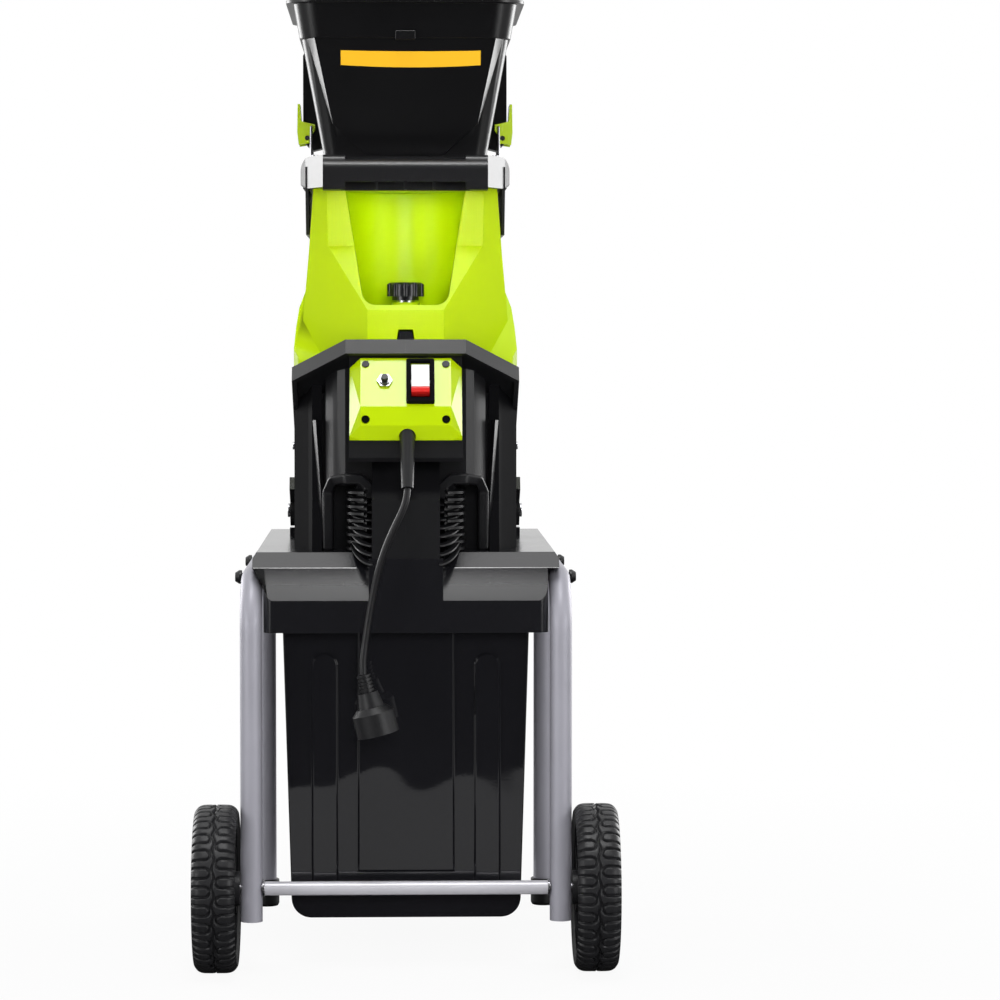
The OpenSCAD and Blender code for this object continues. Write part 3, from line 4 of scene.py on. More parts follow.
import bmesh
import bpy
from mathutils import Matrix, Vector


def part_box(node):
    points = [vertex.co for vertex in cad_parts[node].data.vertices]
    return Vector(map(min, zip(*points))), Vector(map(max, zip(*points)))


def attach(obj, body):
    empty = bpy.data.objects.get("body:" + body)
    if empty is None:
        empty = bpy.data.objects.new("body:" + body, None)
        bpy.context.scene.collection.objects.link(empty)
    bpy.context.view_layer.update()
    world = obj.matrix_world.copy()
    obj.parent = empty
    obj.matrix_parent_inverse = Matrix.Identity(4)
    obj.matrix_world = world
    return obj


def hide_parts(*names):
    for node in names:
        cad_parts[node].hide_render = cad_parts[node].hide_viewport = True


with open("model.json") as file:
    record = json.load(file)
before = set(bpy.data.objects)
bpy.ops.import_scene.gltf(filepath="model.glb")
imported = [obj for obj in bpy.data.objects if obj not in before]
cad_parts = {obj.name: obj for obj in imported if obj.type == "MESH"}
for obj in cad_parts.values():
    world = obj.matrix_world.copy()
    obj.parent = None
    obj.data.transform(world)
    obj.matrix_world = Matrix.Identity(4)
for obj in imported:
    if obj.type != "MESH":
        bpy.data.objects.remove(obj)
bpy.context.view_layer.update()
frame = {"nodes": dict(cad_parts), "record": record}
record = frame["record"]
nodeBody = {node: body for body, nodes in record["behaviour"]["bodies"].items() for node in nodes}
print("frame loaded:", len(frame["nodes"]), "nodes")

axleBack = -0.1855  # depth of the axle in the shared frame


def spot(x, y, z):  # millimetres behind the axle to the shared frame
    return Vector((x / 1000, y / 1000 + axleBack, z / 1000))


# camera, at the photograph's viewing angle
cameraSet = {
    "place": (-0.011, -3.6855, 0.6355),
    "aim": (0.0300, 1.0, -0.0463),
    "lens": 126.3,
    "sensor": 36,
    "farEnd": 60,
}
camera = bpy.data.objects.new("camera", bpy.data.cameras.new("camera"))
bpy.context.collection.objects.link(camera)
camera.data.lens = cameraSet["lens"]
camera.data.sensor_width = cameraSet["sensor"]
camera.data.clip_end = cameraSet["farEnd"]
camera.location = cameraSet["place"]
camera.rotation_euler = Vector(cameraSet["aim"]).to_track_quat("-Z", "Y").to_matrix().to_euler()
bpy.context.scene.camera = camera
print("camera set")


class Wire:  # a shader value that takes part in plain arithmetic
    def __init__(self, finish, socket):
        self.finish = finish
        self.socket = socket

    def maths(self, operation, a, b):
        return self.finish.node("ShaderNodeMath", {"operation": operation}, {0: a, 1: b})

    def __add__(self, other):
        return self.maths("ADD", self, other)

    def __radd__(self, other):
        return self.maths("ADD", other, self)

    def __sub__(self, other):
        return self.maths("SUBTRACT", self, other)

    def __rsub__(self, other):
        return self.maths("SUBTRACT", other, self)

    def __mul__(self, other):
        return self.maths("MULTIPLY", self, other)

    def __rmul__(self, other):
        return self.maths("MULTIPLY", other, self)

    def __gt__(self, other):
        return self.maths("GREATER_THAN", self, other)

    def __lt__(self, other):
        return self.maths("LESS_THAN", self, other)

    def out(self, name):  # another output of the same node
        return Wire(self.finish, self.socket.node.outputs[name])


class Finish:  # one material and its nodes
    def __init__(self, name, tree=None):
        self.material = None
        if tree is None:
            self.material = bpy.data.materials.new(name)
            self.material.use_nodes = True
            tree = self.material.node_tree
        self.tree = tree
        tree.nodes.clear()

    def node(self, kind, settings=None, inputs=None):
        made = self.tree.nodes.new(kind)
        for key, value in (settings or {}).items():
            setattr(made, key, value)
        for key, value in (inputs or {}).items():
            socket = made.inputs[key]
            if isinstance(value, Wire):
                self.tree.links.new(value.socket, socket)
            else:
                socket.default_value = value
        return Wire(self, made.outputs[0] if made.outputs else None)

    def place(self):
        return self.node("ShaderNodeTexCoord").out("Object")

    def noise(self, place, scale, detail=2.0, rough=0.5):
        return self.node("ShaderNodeTexNoise", None,
                         {"Vector": place, "Scale": scale, "Detail": detail, "Roughness": rough})

    def stretch(self, place, scale):
        return self.node("ShaderNodeMapping", None, {"Vector": place, "Scale": scale})

    def mix(self, amount, first, last):
        return self.node("ShaderNodeMix", {"data_type": "RGBA"}, {0: amount, 6: first, 7: last}).out(2)

    def bump(self, height, strength, distance, under=None):
        inputs = {"Height": height, "Strength": strength, "Distance": distance}
        if under is not None:
            inputs["Normal"] = under
        return self.node("ShaderNodeBump", None, inputs)

    def surface(self, **sockets):
        shader = self.node("ShaderNodeBsdfPrincipled", None,
                           {name.replace("_", " "): value for name, value in sockets.items()})
        self.node("ShaderNodeOutputMaterial", None, {"Surface": shader})
        return self.material


def linear(red, green, blue):  # screen colour to shader colour
    def one(c):
        c = c / 255
        return c / 12.92 if c <= 0.04045 else ((c + 0.055) / 1.055) ** 2.4
    return (one(red), one(green), one(blue), 1)


# moulded plastic and rubber: noise scales, then what they add
mouldSet = {"cloud": 7, "scuff": (260, 260, 9), "scuffFrom": 0.66, "scuffShare": 0.35, "fleckShare": 0.5,
            "lift": 0.0006, "grainDeep": 0.0004, "wave": 9}


def moulded(name, colour, rough, grain=0.15, grainSize=1100, spread=0.1, tint=0.12, wave=0.0, shine=0.5, fade=None):
    t = mouldSet
    f = Finish(name)
    at = f.place()
    cloud = f.noise(at, t["cloud"], 3)
    fleck = f.noise(at, grainSize, 2)
    scuff = f.noise(f.stretch(at, t["scuff"]), 1.0, 3, 0.6)
    pale = tuple(min(1, c * (1 + tint) + t["lift"]) for c in colour[:3]) + (1,)
    dark = tuple(c * (1 - tint) for c in colour[:3]) + (1,)
    hue = f.mix(cloud, dark, pale)
    gloss = rough + (cloud - 0.5) * spread + (fleck - 0.5) * (spread * t["fleckShare"])
    gloss = gloss + (scuff > t["scuffFrom"]) * (spread * t["scuffShare"])
    if fade:  # below a height the gloss changes towards the foot
        foot, head, footRough, headRough = fade
        height = f.node("ShaderNodeSeparateXYZ", None, {0: at}).out("Z")
        change = f.node("ShaderNodeMapRange", None, {0: height, 1: foot, 2: head, 3: footRough, 4: headRough})
        gloss = gloss + change * (height < head)
    under = f.bump(f.noise(at, t["wave"], 1), 1.0, wave) if wave else None
    return f.surface(Base_Color=hue, Roughness=gloss, Specular_IOR_Level=shine,
                     Normal=f.bump(fleck, grain, t["grainDeep"], under))


# rocker: the panel's lean, a point on its face and, up the slope from it, the coloured end and a faint line
rockerSet = {"lean": 33, "depth": 0.005, "height": 0.615, "endBelow": -0.0402, "lineAt": -0.0245, "lineHalf": 0.0003,
             "lineShare": 0.35, "lineGrey": (0.3, 0.3, 0.3, 1)}


def twoTone(name, first, last, rough):
    t = rockerSet
    f = Finish(name)
    at = f.place()
    parts = f.node("ShaderNodeSeparateXYZ", None, {0: at})
    slope = math.radians(t["lean"])
    rise = (parts.out("Y") - t["depth"] - axleBack) * math.sin(slope) + (parts.out("Z") - t["height"]) * math.cos(slope)
    cloud = f.noise(at, 60, 2)
    end = rise < t["endBelow"]
    off = f.node("ShaderNodeMath", {"operation": "ABSOLUTE"}, {0: rise - t["lineAt"]})
    line = (off < t["lineHalf"]) * t["lineShare"]
    hue = f.mix(line, f.mix(end, first, last), t["lineGrey"])
    return f.surface(Base_Color=hue, Roughness=rough + (cloud - 0.5) * 0.06,
                     Normal=f.bump(f.noise(at, 900, 2), 0.03, 0.0003))


# metal: noise scales, lighter and darker shares of the colour, and how far the gloss and the surface vary
metalSet = {"cloud": 24, "speck": 2600, "bright": 1.12, "dull": 0.86, "lineGloss": 0.12, "cloudGloss": 0.1,
            "strength": 0.12, "deep": 0.0002}


def metal(name, colour, rough, metallic=1.0, brush=(900, 900, 40), flake=0.0):
    t = metalSet
    f = Finish(name)
    at = f.place()
    lines = f.noise(f.stretch(at, brush), 1.0, 3, 0.6)
    cloud = f.noise(at, t["cloud"], 3)
    speck = f.noise(at, t["speck"], 1)
    bright = tuple(min(1, c * t["bright"]) for c in colour[:3]) + (1,)
    dull = tuple(c * t["dull"] for c in colour[:3]) + (1,)
    hue = f.mix(cloud * 0.6 + speck * 0.4, dull, bright)
    gloss = rough + (lines - 0.5) * t["lineGloss"] + (cloud - 0.5) * t["cloudGloss"]
    return f.surface(Base_Color=hue, Roughness=gloss, Metallic=metallic,
                     Normal=f.bump(lines * (1 - flake) + speck * flake, t["strength"], t["deep"]))


finishes = {
    "housingBlack": moulded("housingBlack", linear(20, 20, 22), 0.36, grain=0.16),
    # shadedBlack: a darker copy of the housing black that barely reflects; painted shade for faces meant to read darker
    # than the lamps leave them
    "shadedBlack": moulded("shadedBlack", linear(14, 14, 16), 0.7, grain=0.2, shine=0.04),
    "hopperBlack": moulded("hopperBlack", linear(8, 8, 10), 0.3, grain=0.12, shine=0.8),
    "platformBlack": moulded("platformBlack", linear(22, 22, 25), 0.18, grain=0.12, grainSize=800, spread=0.06),
    "slopeBlack": moulded("slopeBlack", linear(22, 22, 25), 0.32, grain=0.12, grainSize=800, spread=0.06, shine=1.0,
                          fade=(0.373, 0.4055, 0.1, -0.2)),
    "binBlack": moulded("binBlack", linear(20, 20, 23), 0.03, grain=0.01, grainSize=500, spread=0.015, tint=0.1,
                        wave=0.0016, shine=0.8),
    "gripBlack": moulded("gripBlack", linear(17, 17, 19), 0.34, grain=0.25, grainSize=900, shine=0.8),
    "lime": moulded("lime", linear(184, 214, 0), 0.34, grain=0.04, grainSize=600, spread=0.05, tint=0.04, shine=0.16),
    "limeCover": moulded("limeCover", linear(184, 214, 0), 0.2, grain=0.04, grainSize=600, spread=0.05, tint=0.04,
                         shine=0.3),
    "limeLever": moulded("limeLever", linear(184, 214, 0), 0.26, grain=0.06, grainSize=700, spread=0.05, tint=0.05),
    "tubeSilver": metal("tubeSilver", linear(168, 167, 176), 0.46, metallic=0.3, brush=(600, 600, 600), flake=1.0),
    "axleSilver": metal("axleSilver", linear(210, 209, 215), 0.34, metallic=0.3, brush=(40, 900, 900), flake=0.3),
    "bareSteel": metal("bareSteel", linear(176, 176, 180), 0.3),
    "darkSteel": metal("darkSteel", linear(52, 52, 56), 0.42, metallic=0.8, brush=(400, 400, 400)),
    "zincPlate": metal("zincPlate", linear(196, 196, 200), 0.26, brush=(400, 400, 400)),
    "copperWire": metal("copperWire", linear(170, 110, 70), 0.4),
    "tyreRubber": moulded("tyreRubber", linear(27, 27, 29), 0.4, grain=0.35, grainSize=700, spread=0.12),
    "softRubber": moulded("softRubber", linear(21, 21, 23), 0.42, grain=0.25, grainSize=900),
    "rockerTwoTone": twoTone("rockerTwoTone", linear(244, 244, 244), linear(214, 34, 30), 0.24),
    "amberStrip": moulded("amberStrip", linear(246, 186, 8), 0.5, grain=0.04, grainSize=900, spread=0.06, tint=0.04),
}
print("finishes made:", len(finishes))


def settle(piece, node, replace=True):  # the piece moves with the node's body and, when it replaces the node, hides it
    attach(piece, nodeBody[node])
    if replace:
        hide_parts(node)
    return piece


def objectFrom(name, bm, finish, smooth=True):
    mesh = bpy.data.meshes.new(name)
    for face in bm.faces:
        face.smooth = smooth
    bm.to_mesh(mesh)
    bm.free()
    mesh.materials.append(finishes[finish])
    piece = bpy.data.objects.new(name, mesh)
    bpy.context.collection.objects.link(piece)
    return piece


# rounded edges, in metres, degrees and shares of the rounding's width
edgeSet = {"weld": 0.00003, "flat": 0.7, "sliver": 0.00005, "speck": 0.00001, "finer": 0.35, "room": 2.3, "slide": 1.6}


def reach(face, edge):  # how far the face runs back from the edge
    start = edge.verts[0].co
    along = (edge.verts[1].co - start).normalized()
    return max(((v.co - start) - along * (v.co - start).dot(along)).length for v in face.verts)


def roomy(edge, width, angle):  # both faces and the edges that slide have room for the rounding
    if min(reach(face, edge) for face in edge.link_faces) < edgeSet["room"] * width:
        return False
    beside = [e for v in edge.verts for e in v.link_edges if e is not edge and e.calc_face_angle(0) < angle]
    return all(e.calc_length() > edgeSet["slide"] * width for e in beside)


def softEdges(bm, width, segments, angle):  # rounds the sharp edges, finer where there is less room
    t = edgeSet
    bmesh.ops.remove_doubles(bm, verts=bm.verts, dist=t["weld"])
    bmesh.ops.dissolve_limit(bm, angle_limit=math.radians(t["flat"]), verts=bm.verts, edges=bm.edges)
    bmesh.ops.dissolve_degenerate(bm, edges=bm.edges, dist=t["sliver"])
    for size in (width, width * t["finer"]):
        sharp = [e for e in bm.edges
                 if len(e.link_faces) == 2 and e.calc_face_angle(0) > angle and roomy(e, size, angle)]
        bmesh.ops.bevel(bm, geom=sharp, offset=size, offset_type="OFFSET", segments=segments, profile=0.5,
                        affect="EDGES", clamp_overlap=True, material=-1)
    bmesh.ops.dissolve_degenerate(bm, edges=bm.edges, dist=t["speck"])


def dress(node, finish, width=0.0008, segments=2, angle=20, shape=None, other=None, where=None):
    # the node's own shape with rounded edges, and another finish on some of its faces
    bm = bmesh.new()
    bm.from_mesh(frame["nodes"][node].data)
    if shape:
        shape(bm)
    softEdges(bm, width, segments, math.radians(angle))
    piece = objectFrom(node + "_skin", bm, finish)
    if other:
        piece.data.materials.append(finishes[other])
        for face in piece.data.polygons:
            face.material_index = int(where(face))
    crease(piece, angle + 4)
    return settle(piece, node)


def crease(piece, angle):
    piece.data.set_sharp_from_angle(angle=math.radians(angle))
    weighted = piece.modifiers.new("weighted", "WEIGHTED_NORMAL")
    weighted.keep_sharp = True


def paint(node, finish):  # a node that keeps its mesh takes a finish
    thing = frame["nodes"][node]
    thing.data.materials.clear()
    thing.data.materials.append(finishes[finish])


# cord, first because its route is fixed
boxLow = 533.615  # underside of the control box cover
cordSet = {
    "route": [(1.5, -40, -47), (0.9, -42, -53), (-0.5, -43.3, -60), (-2.8, -43.8, -66.5), (-5.6, -43.6, -73),
              (-9, -42.8, -80), (-14.5, -40.8, -92), (-19.5, -38.4, -104), (-24, -36, -117), (-28, -33.8, -131),
              (-31.5, -32.2, -146), (-34.6, -31.3, -162), (-37.4, -31, -178), (-39.8, -31.2, -194),
              (-41.6, -31.7, -208), (-42.6, -32.4, -220), (-42.4, -33, -232)],
    "diameter": 7.0, "round": 5, "smooth": 6,
}
route = [spot(x, y, boxLow + z) for x, y, z in cordSet["route"]]


def makeCord():
    curve = bpy.data.curves.new("power_cord_flex", "CURVE")
    curve.dimensions = "3D"
    curve.bevel_depth = cordSet["diameter"] / 2000
    curve.bevel_resolution = cordSet["round"]
    curve.resolution_u = cordSet["smooth"]
    curve.use_fill_caps = True
    spline = curve.splines.new("BEZIER")
    spline.bezier_points.add(len(route) - 1)
    for point, at in zip(spline.bezier_points, route):
        point.co = at
        point.handle_left_type = point.handle_right_type = "AUTO"
    curve.materials.append(finishes["softRubber"])
    piece = bpy.data.objects.new("power_cord_flex", curve)
    bpy.context.collection.objects.link(piece)
    return settle(piece, "power_cord")


cord = makeCord()
plugSkin = dress("plug", "softRubber", 0.0007, 3)

# tyres, with the looped tread
tyreSet = {
    "radius": 84.0, "width": 43.0, "shoulder": 7.0, "loops": 28, "steps": 24, "rows": 56,
    "groove": 3.0, "line": 1.1, "lineFoot": 0.5, "lineHead": 1.4, "bend": 5.2,
    "spine": 1.5, "spineWave": 1.2, "spineGap": 3, "spineLeast": 0.3,
    "wall": 0.2, "wallDrop": 2, "shoulderCurve": 6, "treadFrom": 1, "sinkFrom": 5, "sink": 0.003,
}


def smooth(low, high, value):
    t = min(1, max(0, (value - low) / (high - low)))
    return t * t * (3 - 2 * t)


def treadDepth(turn, across):  # millimetres cut away at a turn round the wheel and a distance from the inner edge
    t = tyreSet
    half = t["width"] / 2
    pitch = 2 * math.pi * t["radius"] / t["loops"]
    far = across > half
    along = ((turn / (2 * math.pi) * t["loops"] + (0.5 if far else 0)) % 1 - 0.5) * pitch
    inward = t["width"] - across if far else across
    bendAt = half - t["spineGap"] - t["bend"]
    gap = abs(abs(along) - t["bend"]) if inward < bendAt else abs(math.hypot(along, inward - bendAt) - t["bend"])
    weave = abs(across - half - math.sin(turn * t["loops"]) * t["spineWave"])
    gap = min(gap, max(0, weave - t["spine"] + t["line"]) + t["spineLeast"])
    return t["groove"] * (1 - smooth(t["lineFoot"] * t["line"], t["lineHead"] * t["line"], gap))


def makeTyre(node, side):
    t = tyreSet
    low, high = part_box(node)
    outer = high[0] if side > 0 else low[0]
    hub = Vector((outer, axleBack, t["radius"] / 1000))
    bm = bmesh.new()
    ring = []
    for i in range(t["rows"] + 1):
        along = 2 * i / t["rows"] - 1
        drop = t["shoulder"] * abs(along) ** t["shoulderCurve"]
        across = t["width"] * (1 - along) / 2
        ring.append(bm.verts.new(hub + Vector((-side * across, 0, t["radius"] - drop)) / 1000))
    for across in (t["wall"], t["width"] - t["wall"]):
        inside = t["radius"] - t["shoulder"] - t["wallDrop"]
        ring.append(bm.verts.new(hub + Vector((-side * across, 0, inside)) / 1000))
    edges = [bm.edges.new((a, b)) for a, b in zip(ring, ring[1:] + ring[:1])]
    bmesh.ops.spin(bm, geom=ring + edges, cent=hub, axis=(1, 0, 0), angle=2 * math.pi, steps=t["loops"] * t["steps"],
                   use_merge=True, use_duplicate=False)
    bmesh.ops.remove_doubles(bm, verts=bm.verts, dist=edgeSet["speck"])
    bmesh.ops.recalc_face_normals(bm, faces=bm.faces)
    for vert in bm.verts:
        off = vert.co - hub
        radius = math.hypot(off.y, off.z)
        if radius * 1000 > t["radius"] - t["shoulder"] + t["treadFrom"]:
            depth = treadDepth(math.atan2(off.y, off.z), abs(off.x) * 1000)
            scale = (radius - depth / 1000) / radius
            vert.co.y = hub.y + off.y * scale
            vert.co.z = hub.z + off.z * scale
    tyre = objectFrom(node + "_tread", bm, "tyreRubber")
    return settle(tyre, node, False)


def sinkTread(bm):  # the wheel's own tread goes under the looped one
    t = tyreSet
    for vert in bm.verts:
        y, z = vert.co.y - axleBack, vert.co.z - t["radius"] / 1000
        radius = math.hypot(y, z)
        if radius * 1000 > t["radius"] - t["sinkFrom"]:
            vert.co.y = axleBack + y * (radius - t["sink"]) / radius
            vert.co.z = t["radius"] / 1000 + z * (radius - t["sink"]) / radius


for node, side in (("left_wheel", -1), ("right_wheel", 1)):
    dress(node, "tyreRubber", 0.0006, 2, 20, sinkTread)
    makeTyre(node, side)
print("tyres made")

# nodes that keep their CAD shape, with moulded edges: finish, edge in mm, segments, crease angle
skins = {
    "left_frame": ("tubeSilver", 0.4, 2, 40), "right_frame": ("tubeSilver", 0.4, 2, 40),
    "frame_bolts": ("housingBlack", 0.8, 3, 20), "frame_nuts": ("zincPlate", 0.4, 2, 20),
    "rear_feet": ("softRubber", 1.2, 3, 20), "axle_spacer": ("axleSilver", 0.4, 2, 20),
    "star_washers": ("zincPlate", 0.2, 2, 20), "left_hub_cap": ("housingBlack", 0.8, 3, 20),
    "right_hub_cap": ("housingBlack", 0.8, 3, 20), "bin": ("binBlack", 1.6, 4, 11),
    "housing_screws": ("zincPlate", 0.4, 2, 20), "upper_housing": ("lime", 4.0, 5, 24),
    "hinge_arms": ("housingBlack", 1.0, 3, 20), "handle_frame": ("gripBlack", 2.0, 4, 11),
    "hinge_pins": ("zincPlate", 0.6, 2, 20), "lock_knob": ("platformBlack", 0.6, 3, 20),
    "hopper": ("hopperBlack", 2.4, 4, 22), "hopper_rim": ("hopperBlack", 1.6, 4, 22),
    "left_lever": ("limeLever", 0.8, 3, 20), "right_lever": ("limeLever", 0.8, 3, 20),
    "left_bail": ("zincPlate", 0.2, 2, 40), "right_bail": ("zincPlate", 0.2, 2, 40),
    "box_base": ("housingBlack", 2.0, 4, 11), "box_cover": ("limeCover", 1.6, 4, 11),
    # the switch frame takes the darker copy of the black as painted shade
    "cover_screws": ("darkSteel", 0.4, 2, 20), "switch_frame": ("shadedBlack", 0.8, 3, 20),
    "rocker": ("rockerTwoTone", 0.7, 3, 11), "reset_nut": ("bareSteel", 0.5, 2, 20),
    "reset_button": ("housingBlack", 0.6, 3, 20), "strain_relief": ("softRubber", 0.8, 3, 20),
}

platformSet = {"edge": 0.0022, "segments": 3, "angle": 11, "slopeForward": 0.8, "slopeUp": 0.3}


def sloping(face):  # the platform's front slope is a little duller than its deck
    return face.normal.y < -platformSet["slopeForward"] and face.normal.z > platformSet["slopeUp"]


dress("platform", "platformBlack", platformSet["edge"], platformSet["segments"], platformSet["angle"],
      other="slopeBlack", where=sloping)
for node, (finish, width, segments, angle) in skins.items():
    dress(node, finish, width / 1000, segments, angle)
print("skins dressed:", len(skins))

# lower housing: its forward-facing outer corner faces take the darker black as painted shade, and the niches get a
# hood, a slanted rib and curved louvres
housingSet = {
    "edge": 1.2, "segments": 3, "angle": 11,
    "deck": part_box("left_housing")[0][2] * 1000 + 5,  # the housing stands 5 mm in the deck
    "cornerFrom": 84.5, "cornerForward": 0.15, "cornerBelow": 0.6,
    "hood": [(79, 56, 0), (79, 54, 59), (74, 41, 71), (62, 32, 73), (46, 30.5, 73), (38, 30.5, 66), (36.5, 30.5, 53)],
    "hoodWidth": 11, "hoodBack": 84, "hoodEdge": 2.6,
    "rib": [(82.5, 4), (91, 132)], "ribFront": 62, "ribBack": 82, "ribHalf": 3.5, "ribSlant": 7, "ribEdge": 0.8,
    "louvres": 10, "louvreLow": 12, "louvreHigh": 61, "louvreX": 33, "louvreY": 62,
    "across": (24, 27), "forward": (74, 24), "drop": (24, 2), "louvreDeep": 7, "louvreThick": 2.2, "louvreTip": 2,
    "louvreSteps": 16, "louvreCurve": 1.5, "louvreEdge": 0.7, "trimAngle": 25, "trimCrease": 32,
}


# faces that take painted shade: outer, facing forward and below the corner height
def paintedShadeCorner(face):
    t = housingSet
    outer = abs(face.center.x) * 1000 > t["cornerFrom"]
    return outer and face.normal.y < -t["cornerForward"] and face.center.z < t["cornerBelow"]


def sweep(bm, loops):  # draws a section out along a row of closed loops of points
    first = cap = bm.faces.new([bm.verts.new(at) for at in loops[0]])
    for loop in loops[1:]:
        grown = bmesh.ops.extrude_face_region(bm, geom=[cap])["geom"]
        if cap is not first:
            bmesh.ops.delete(bm, geom=[cap], context="FACES_ONLY")  # no wall stays inside
        cap = next(item for item in grown if isinstance(item, bmesh.types.BMFace))
        for vert, at in zip(cap.verts, loop):
            vert.co = at


def makeHood(bm, side):
    t = housingSet
    path = t["hood"]
    loops = []
    for i, (x, front, up) in enumerate(path):
        before, after = path[max(0, i - 1)], path[min(len(path) - 1, i + 1)]
        run = Vector((after[0] - before[0], after[2] - before[2])).normalized() * t["hoodWidth"] / 2
        outer = (side * (x - run.y), t["deck"] + (up + run.x))
        inner = (side * (x + run.y), t["deck"] + (up - run.x))
        loops.append([spot(outer[0], front, outer[1]), spot(inner[0], front, inner[1]),
                      spot(inner[0], t["hoodBack"], inner[1]), spot(outer[0], t["hoodBack"], outer[1])])
    sweep(bm, loops)


def makeRib(bm, side):
    t = housingSet
    half, back, shoulder = t["ribHalf"], t["ribBack"], t["ribFront"] + t["ribSlant"]
    section = [(-half, back), (-half, shoulder), (0, t["ribFront"]), (half, shoulder), (half, back)]
    sweep(bm, [[spot(side * (x + off), depth, t["deck"] + up) for off, depth in section] for x, up in t["rib"]])


def makeLouvres(bm, side):
    t = housingSet
    for i in range(t["louvres"]):
        high = i / (t["louvres"] - 1)
        up = t["deck"] + t["louvreLow"] + (t["louvreHigh"] - t["louvreLow"]) * high
        across = t["across"][0] + (t["across"][1] - t["across"][0]) * high
        lower = (1 - high) ** t["louvreCurve"]
        forward = t["forward"][1] + (t["forward"][0] - t["forward"][1]) * lower
        drop = t["drop"][1] + (t["drop"][0] - t["drop"][1]) * lower
        loops = []
        for step in range(t["louvreSteps"] + 1):
            turn = math.pi / 2 * step / t["louvreSteps"]
            c, d = math.cos(turn), math.sin(turn)
            out = (side * (t["louvreX"] + across * c), t["louvreY"] - forward * d)
            inner = (side * (t["louvreX"] + (across - t["louvreDeep"]) * c),
                     t["louvreY"] - (forward - t["louvreDeep"]) * d)
            low = up - drop * d
            loops.append([spot(*out, low), spot(*out, low + t["louvreThick"]),
                          spot(*inner, low + t["louvreThick"] + t["louvreTip"]), spot(*inner, low + t["louvreTip"])])
        sweep(bm, loops)


def makeTrim(node, side):
    t = housingSet
    trim = (("hood", makeHood, t["hoodEdge"]), ("rib", makeRib, t["ribEdge"]),
            ("louvres", makeLouvres, t["louvreEdge"]))
    for name, make, width in trim:
        bm = bmesh.new()
        make(bm, side)
        bmesh.ops.recalc_face_normals(bm, faces=bm.faces)
        softEdges(bm, width / 1000, t["segments"], math.radians(t["trimAngle"]))
        piece = objectFrom(node + "_" + name, bm, "housingBlack")
        crease(piece, t["trimCrease"])
        settle(piece, node, False)


for node, side in (("left_housing", -1), ("right_housing", 1)):
    dress(node, "housingBlack", housingSet["edge"] / 1000, housingSet["segments"], housingSet["angle"],
          other="shadedBlack", where=paintedShadeCorner)
    makeTrim(node, side)
print("lower housing dressed, deck at", round(housingSet["deck"], 1))

# plain strip across the hopper front
stripSet = {"left": -64.6, "right": 75.6, "bottom": 908.5, "top": 922.8, "sag": 2.2, "thick": 0.35, "proud": 0.5,
            "wallFront": 29, "wallTop": 935, "wallBack": 29, "wallHeight": 115, "columns": 28, "sagFade": 0.6}


def makeStrip():
    t = stripSet
    bm = bmesh.new()
    bmesh.ops.create_grid(bm, x_segments=t["columns"], y_segments=2, size=0.5)
    for vert in bm.verts:
        u, v = vert.co.x + 0.5, vert.co.y + 0.5
        z = t["bottom"] + v * (t["top"] - t["bottom"]) - t["sag"] * (1 - (2 * u - 1) ** 2) * (1 - t["sagFade"] * v)
        front = t["wallFront"] + (t["wallTop"] - z) * t["wallBack"] / t["wallHeight"]  # the wall leans back downwards
        vert.co = spot(t["left"] + u * (t["right"] - t["left"]), front - t["proud"], z)
    bmesh.ops.recalc_face_normals(bm, faces=bm.faces)
    bmesh.ops.solidify(bm, geom=bm.faces[:], thickness=t["thick"] / 1000)
    strip = objectFrom("hopper_strip", bm, "amberStrip", False)
    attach(strip, nodeBody["hopper"])


makeStrip()
print("strip laid")

# small and inner nodes, which keep their mesh
innerFinish = {
    "axle_rod": "bareSteel", "disc_plate": "bareSteel", "chip_chute": "housingBlack",
    "interlock_switch": "housingBlack",
    "motor_can": "bareSteel", "motor_flange": "bareSteel", "motor_bearings": "bareSteel", "stator": "copperWire",
    "rotor_shaft": "bareSteel", "rotor_core": "copperWire", "fan": "housingBlack", "blade_disc": "bareSteel",
    "blades": "bareSteel", "blade_screws": "zincPlate", "disc_bolt": "zincPlate", "handle_screws": "zincPlate",
    "lock_stud": "zincPlate", "knob_washer": "zincPlate", "splash_guard": "softRubber", "latch_pins": "zincPlate",
    "plug_pins": "zincPlate",
}
for node, finish in innerFinish.items():
    paint(node, finish)
print("small and inner nodes painted:", len(innerFinish))


# floor, light and background; in reflections the floor shows a painted glow with a painted shadow band near the machine
floorSet = {"size": 14, "shadowTo": 0.5, "whiteFrom": 1.4, "white": 0.93, "frontEdge": -1.3, "shade": (-0.6, 0.3),
            "mirror": 0.42, "paintedShadowTone": 0.02, "grey": 0.8}


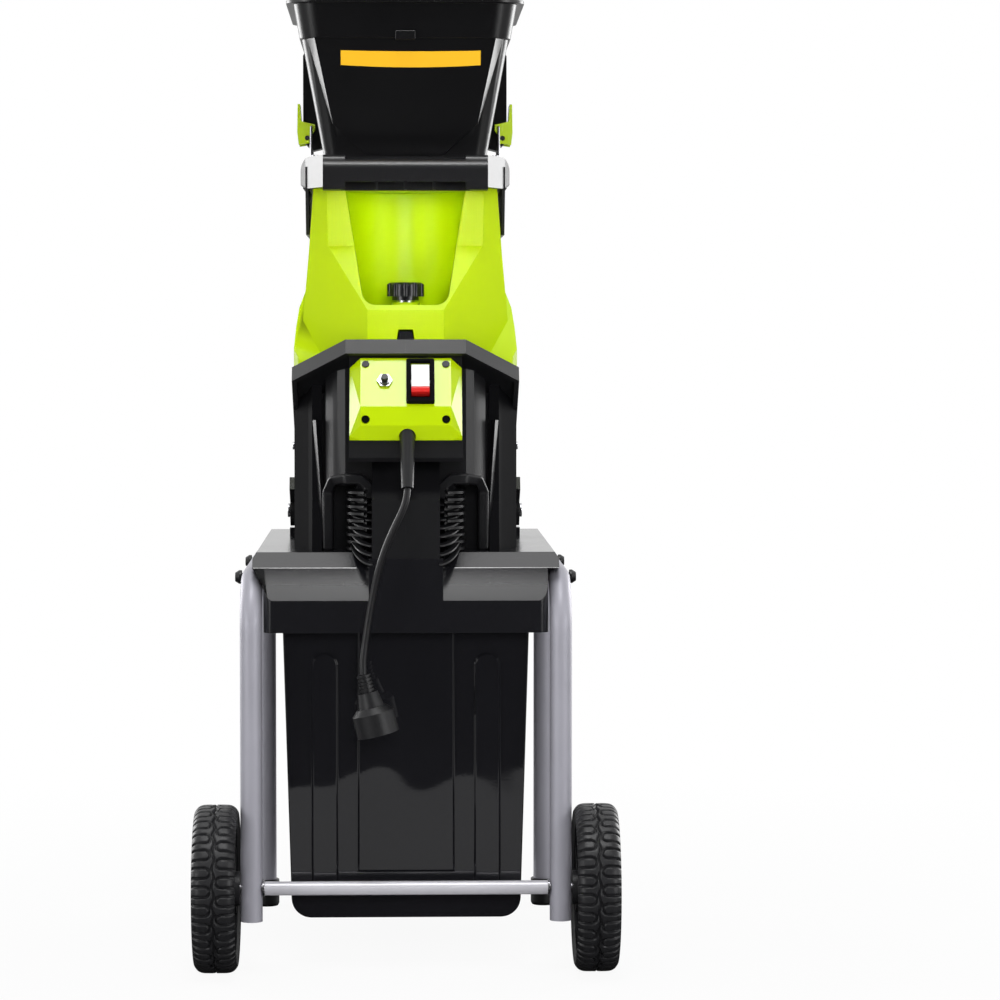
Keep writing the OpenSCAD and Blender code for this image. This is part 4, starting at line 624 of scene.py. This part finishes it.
def makeFloor():
    t = floorSet
    bm = bmesh.new()
    bmesh.ops.create_grid(bm, x_segments=2, y_segments=2, size=t["size"])
    mesh = bpy.data.meshes.new("studio_floor")
    bm.to_mesh(mesh)
    bm.free()
    f = Finish("studioFloor")
    at = f.place()
    away = f.node("ShaderNodeVectorMath", {"operation": "LENGTH"}, {0: at}).out("Value")
    white = f.node("ShaderNodeMapRange", None,
                   {0: away, 1: t["shadowTo"], 2: t["whiteFrom"], 3: t["white"], 4: 1.0})
    depth = f.node("ShaderNodeSeparateXYZ", None, {0: at}).out("Y")
    # what glossy rays see of the floor is painted: a glow at the mirror strength, dark as painted shadow between the
    # two shade edges, and dark past the front edge
    outsidePaintedShadow = (depth > t["frontEdge"]) * ((depth < t["shade"][0]) + (depth > t["shade"][1]))
    rays = f.node("ShaderNodeLightPath")
    shade = f.node("ShaderNodeBsdfDiffuse", None, {"Color": (t["grey"], t["grey"], t["grey"], 1)})
    glow = f.node("ShaderNodeEmission", None, {"Color": (1, 1, 1, 1), "Strength": 1.0})
    mirror = f.node("ShaderNodeEmission", None, {"Color": (1, 1, 1, 1), "Strength": t["mirror"]})
    paintedShadowTone = f.node("ShaderNodeEmission", None, {"Color": (t["paintedShadowTone"], t["paintedShadowTone"], t["paintedShadowTone"], 1), "Strength": 1.0})
    seen = f.node("ShaderNodeMixShader", None, {0: rays.out("Is Camera Ray") * white, 1: shade, 2: glow})
    bright = f.node("ShaderNodeMixShader", None, {0: outsidePaintedShadow, 1: paintedShadowTone, 2: mirror})
    blend = f.node("ShaderNodeMixShader", None, {0: rays.out("Is Glossy Ray"), 1: seen, 2: bright})
    f.node("ShaderNodeOutputMaterial", None, {"Surface": blend})
    mesh.materials.append(f.material)
    floor = bpy.data.objects.new("studio_floor", mesh)
    bpy.context.collection.objects.link(floor)


# place, width and power of each lamp
lightSet = {
    "key": ((0.0, -1.465, 3.41), 0.7, 24),
    "top": ((0.0, -0.2, 3.4), 1.6, 17),
    "front": ((0.3, -4.0, 1.4), 1.2, 66),
    "left": ((-2.3, -2.4, 0.8), 1.2, 15),
    "right": ((2.3, -2.4, 0.8), 1.2, 15),
    "leftEdge": ((-2.3, 1.9, 0.9), 1.6, 38),
    "rightEdge": ((2.3, 1.9, 0.9), 1.6, 38),
}
lampAim = (0, 0, 0.5)

# a narrow lamp for the hand recess, which lies in the handle's shade
recessSet = {"place": (0.0, -1.4, 0.76), "aim": (0.0, -0.12, 0.742), "size": 0.14, "power": 0.034, "spread": 9}


def makeLamp(name, place, aim, size, power):
    lamp = bpy.data.lights.new("light_" + name, "AREA")
    lamp.shape = "DISK"
    lamp.size = size
    lamp.energy = power
    thing = bpy.data.objects.new("light_" + name, lamp)
    bpy.context.collection.objects.link(thing)
    thing.location = place
    thing.rotation_euler = (Vector(aim) - Vector(place)).to_track_quat("-Z", "Y").to_euler()
    return thing


def makeLights():
    for name, (place, size, power) in lightSet.items():
        makeLamp(name, place, lampAim, size, power).visible_glossy = name != "front"
    t = recessSet
    narrow = makeLamp("recess", t["place"], t["aim"], t["size"], t["power"])
    narrow.data.spread = math.radians(t["spread"])
    narrow.visible_glossy = False


# what glossy rays see: pale to the sides and behind, a softer top and a dark front; start, full, low and high of each
worldSet = {
    "wings": (0.35, 0.8, 0.03, 1.0), "behind": (-0.1, 0.25, 0.03, 1.0), "above": (0.3, 0.7, 0.03, 0.4),
    "fill": (0.26, 0.26, 0.27, 1),
}


def makeWorld():
    t = worldSet
    world = bpy.data.worlds.new("studio")
    bpy.context.scene.world = world
    world.use_nodes = True
    f = Finish("studio", world.node_tree)
    rays = f.node("ShaderNodeLightPath")
    around = f.node("ShaderNodeSeparateXYZ", None, {0: f.node("ShaderNodeTexCoord").out("Generated")})
    side = f.node("ShaderNodeMath", {"operation": "ABSOLUTE"}, {0: around.out("X")})
    parts = {"wings": side, "behind": around.out("Y"), "above": around.out("Z")}
    tones = {name: f.node("ShaderNodeMapRange", None, {0: value, **dict(enumerate(t[name], 1))})
             for name, value in parts.items()}
    wide = f.node("ShaderNodeMath", {"operation": "MAXIMUM"}, {0: tones["wings"], 1: tones["behind"]})
    glossy = f.node("ShaderNodeMath", {"operation": "MAXIMUM"}, {0: wide, 1: tones["above"]})
    tone = f.mix(glossy, (0, 0, 0, 1), (1, 1, 1, 1))
    plain = f.mix(rays.out("Is Glossy Ray"), t["fill"], tone)
    shown = f.mix(rays.out("Is Camera Ray"), plain, (1, 1, 1, 1))
    glow = f.node("ShaderNodeBackground", None, {"Color": shown, "Strength": 1.0})
    f.node("ShaderNodeOutputWorld", None, {"Surface": glow})


makeFloor()
makeLights()
makeWorld()
bpy.context.scene.view_settings.view_transform = "Standard"
print("studio lit")
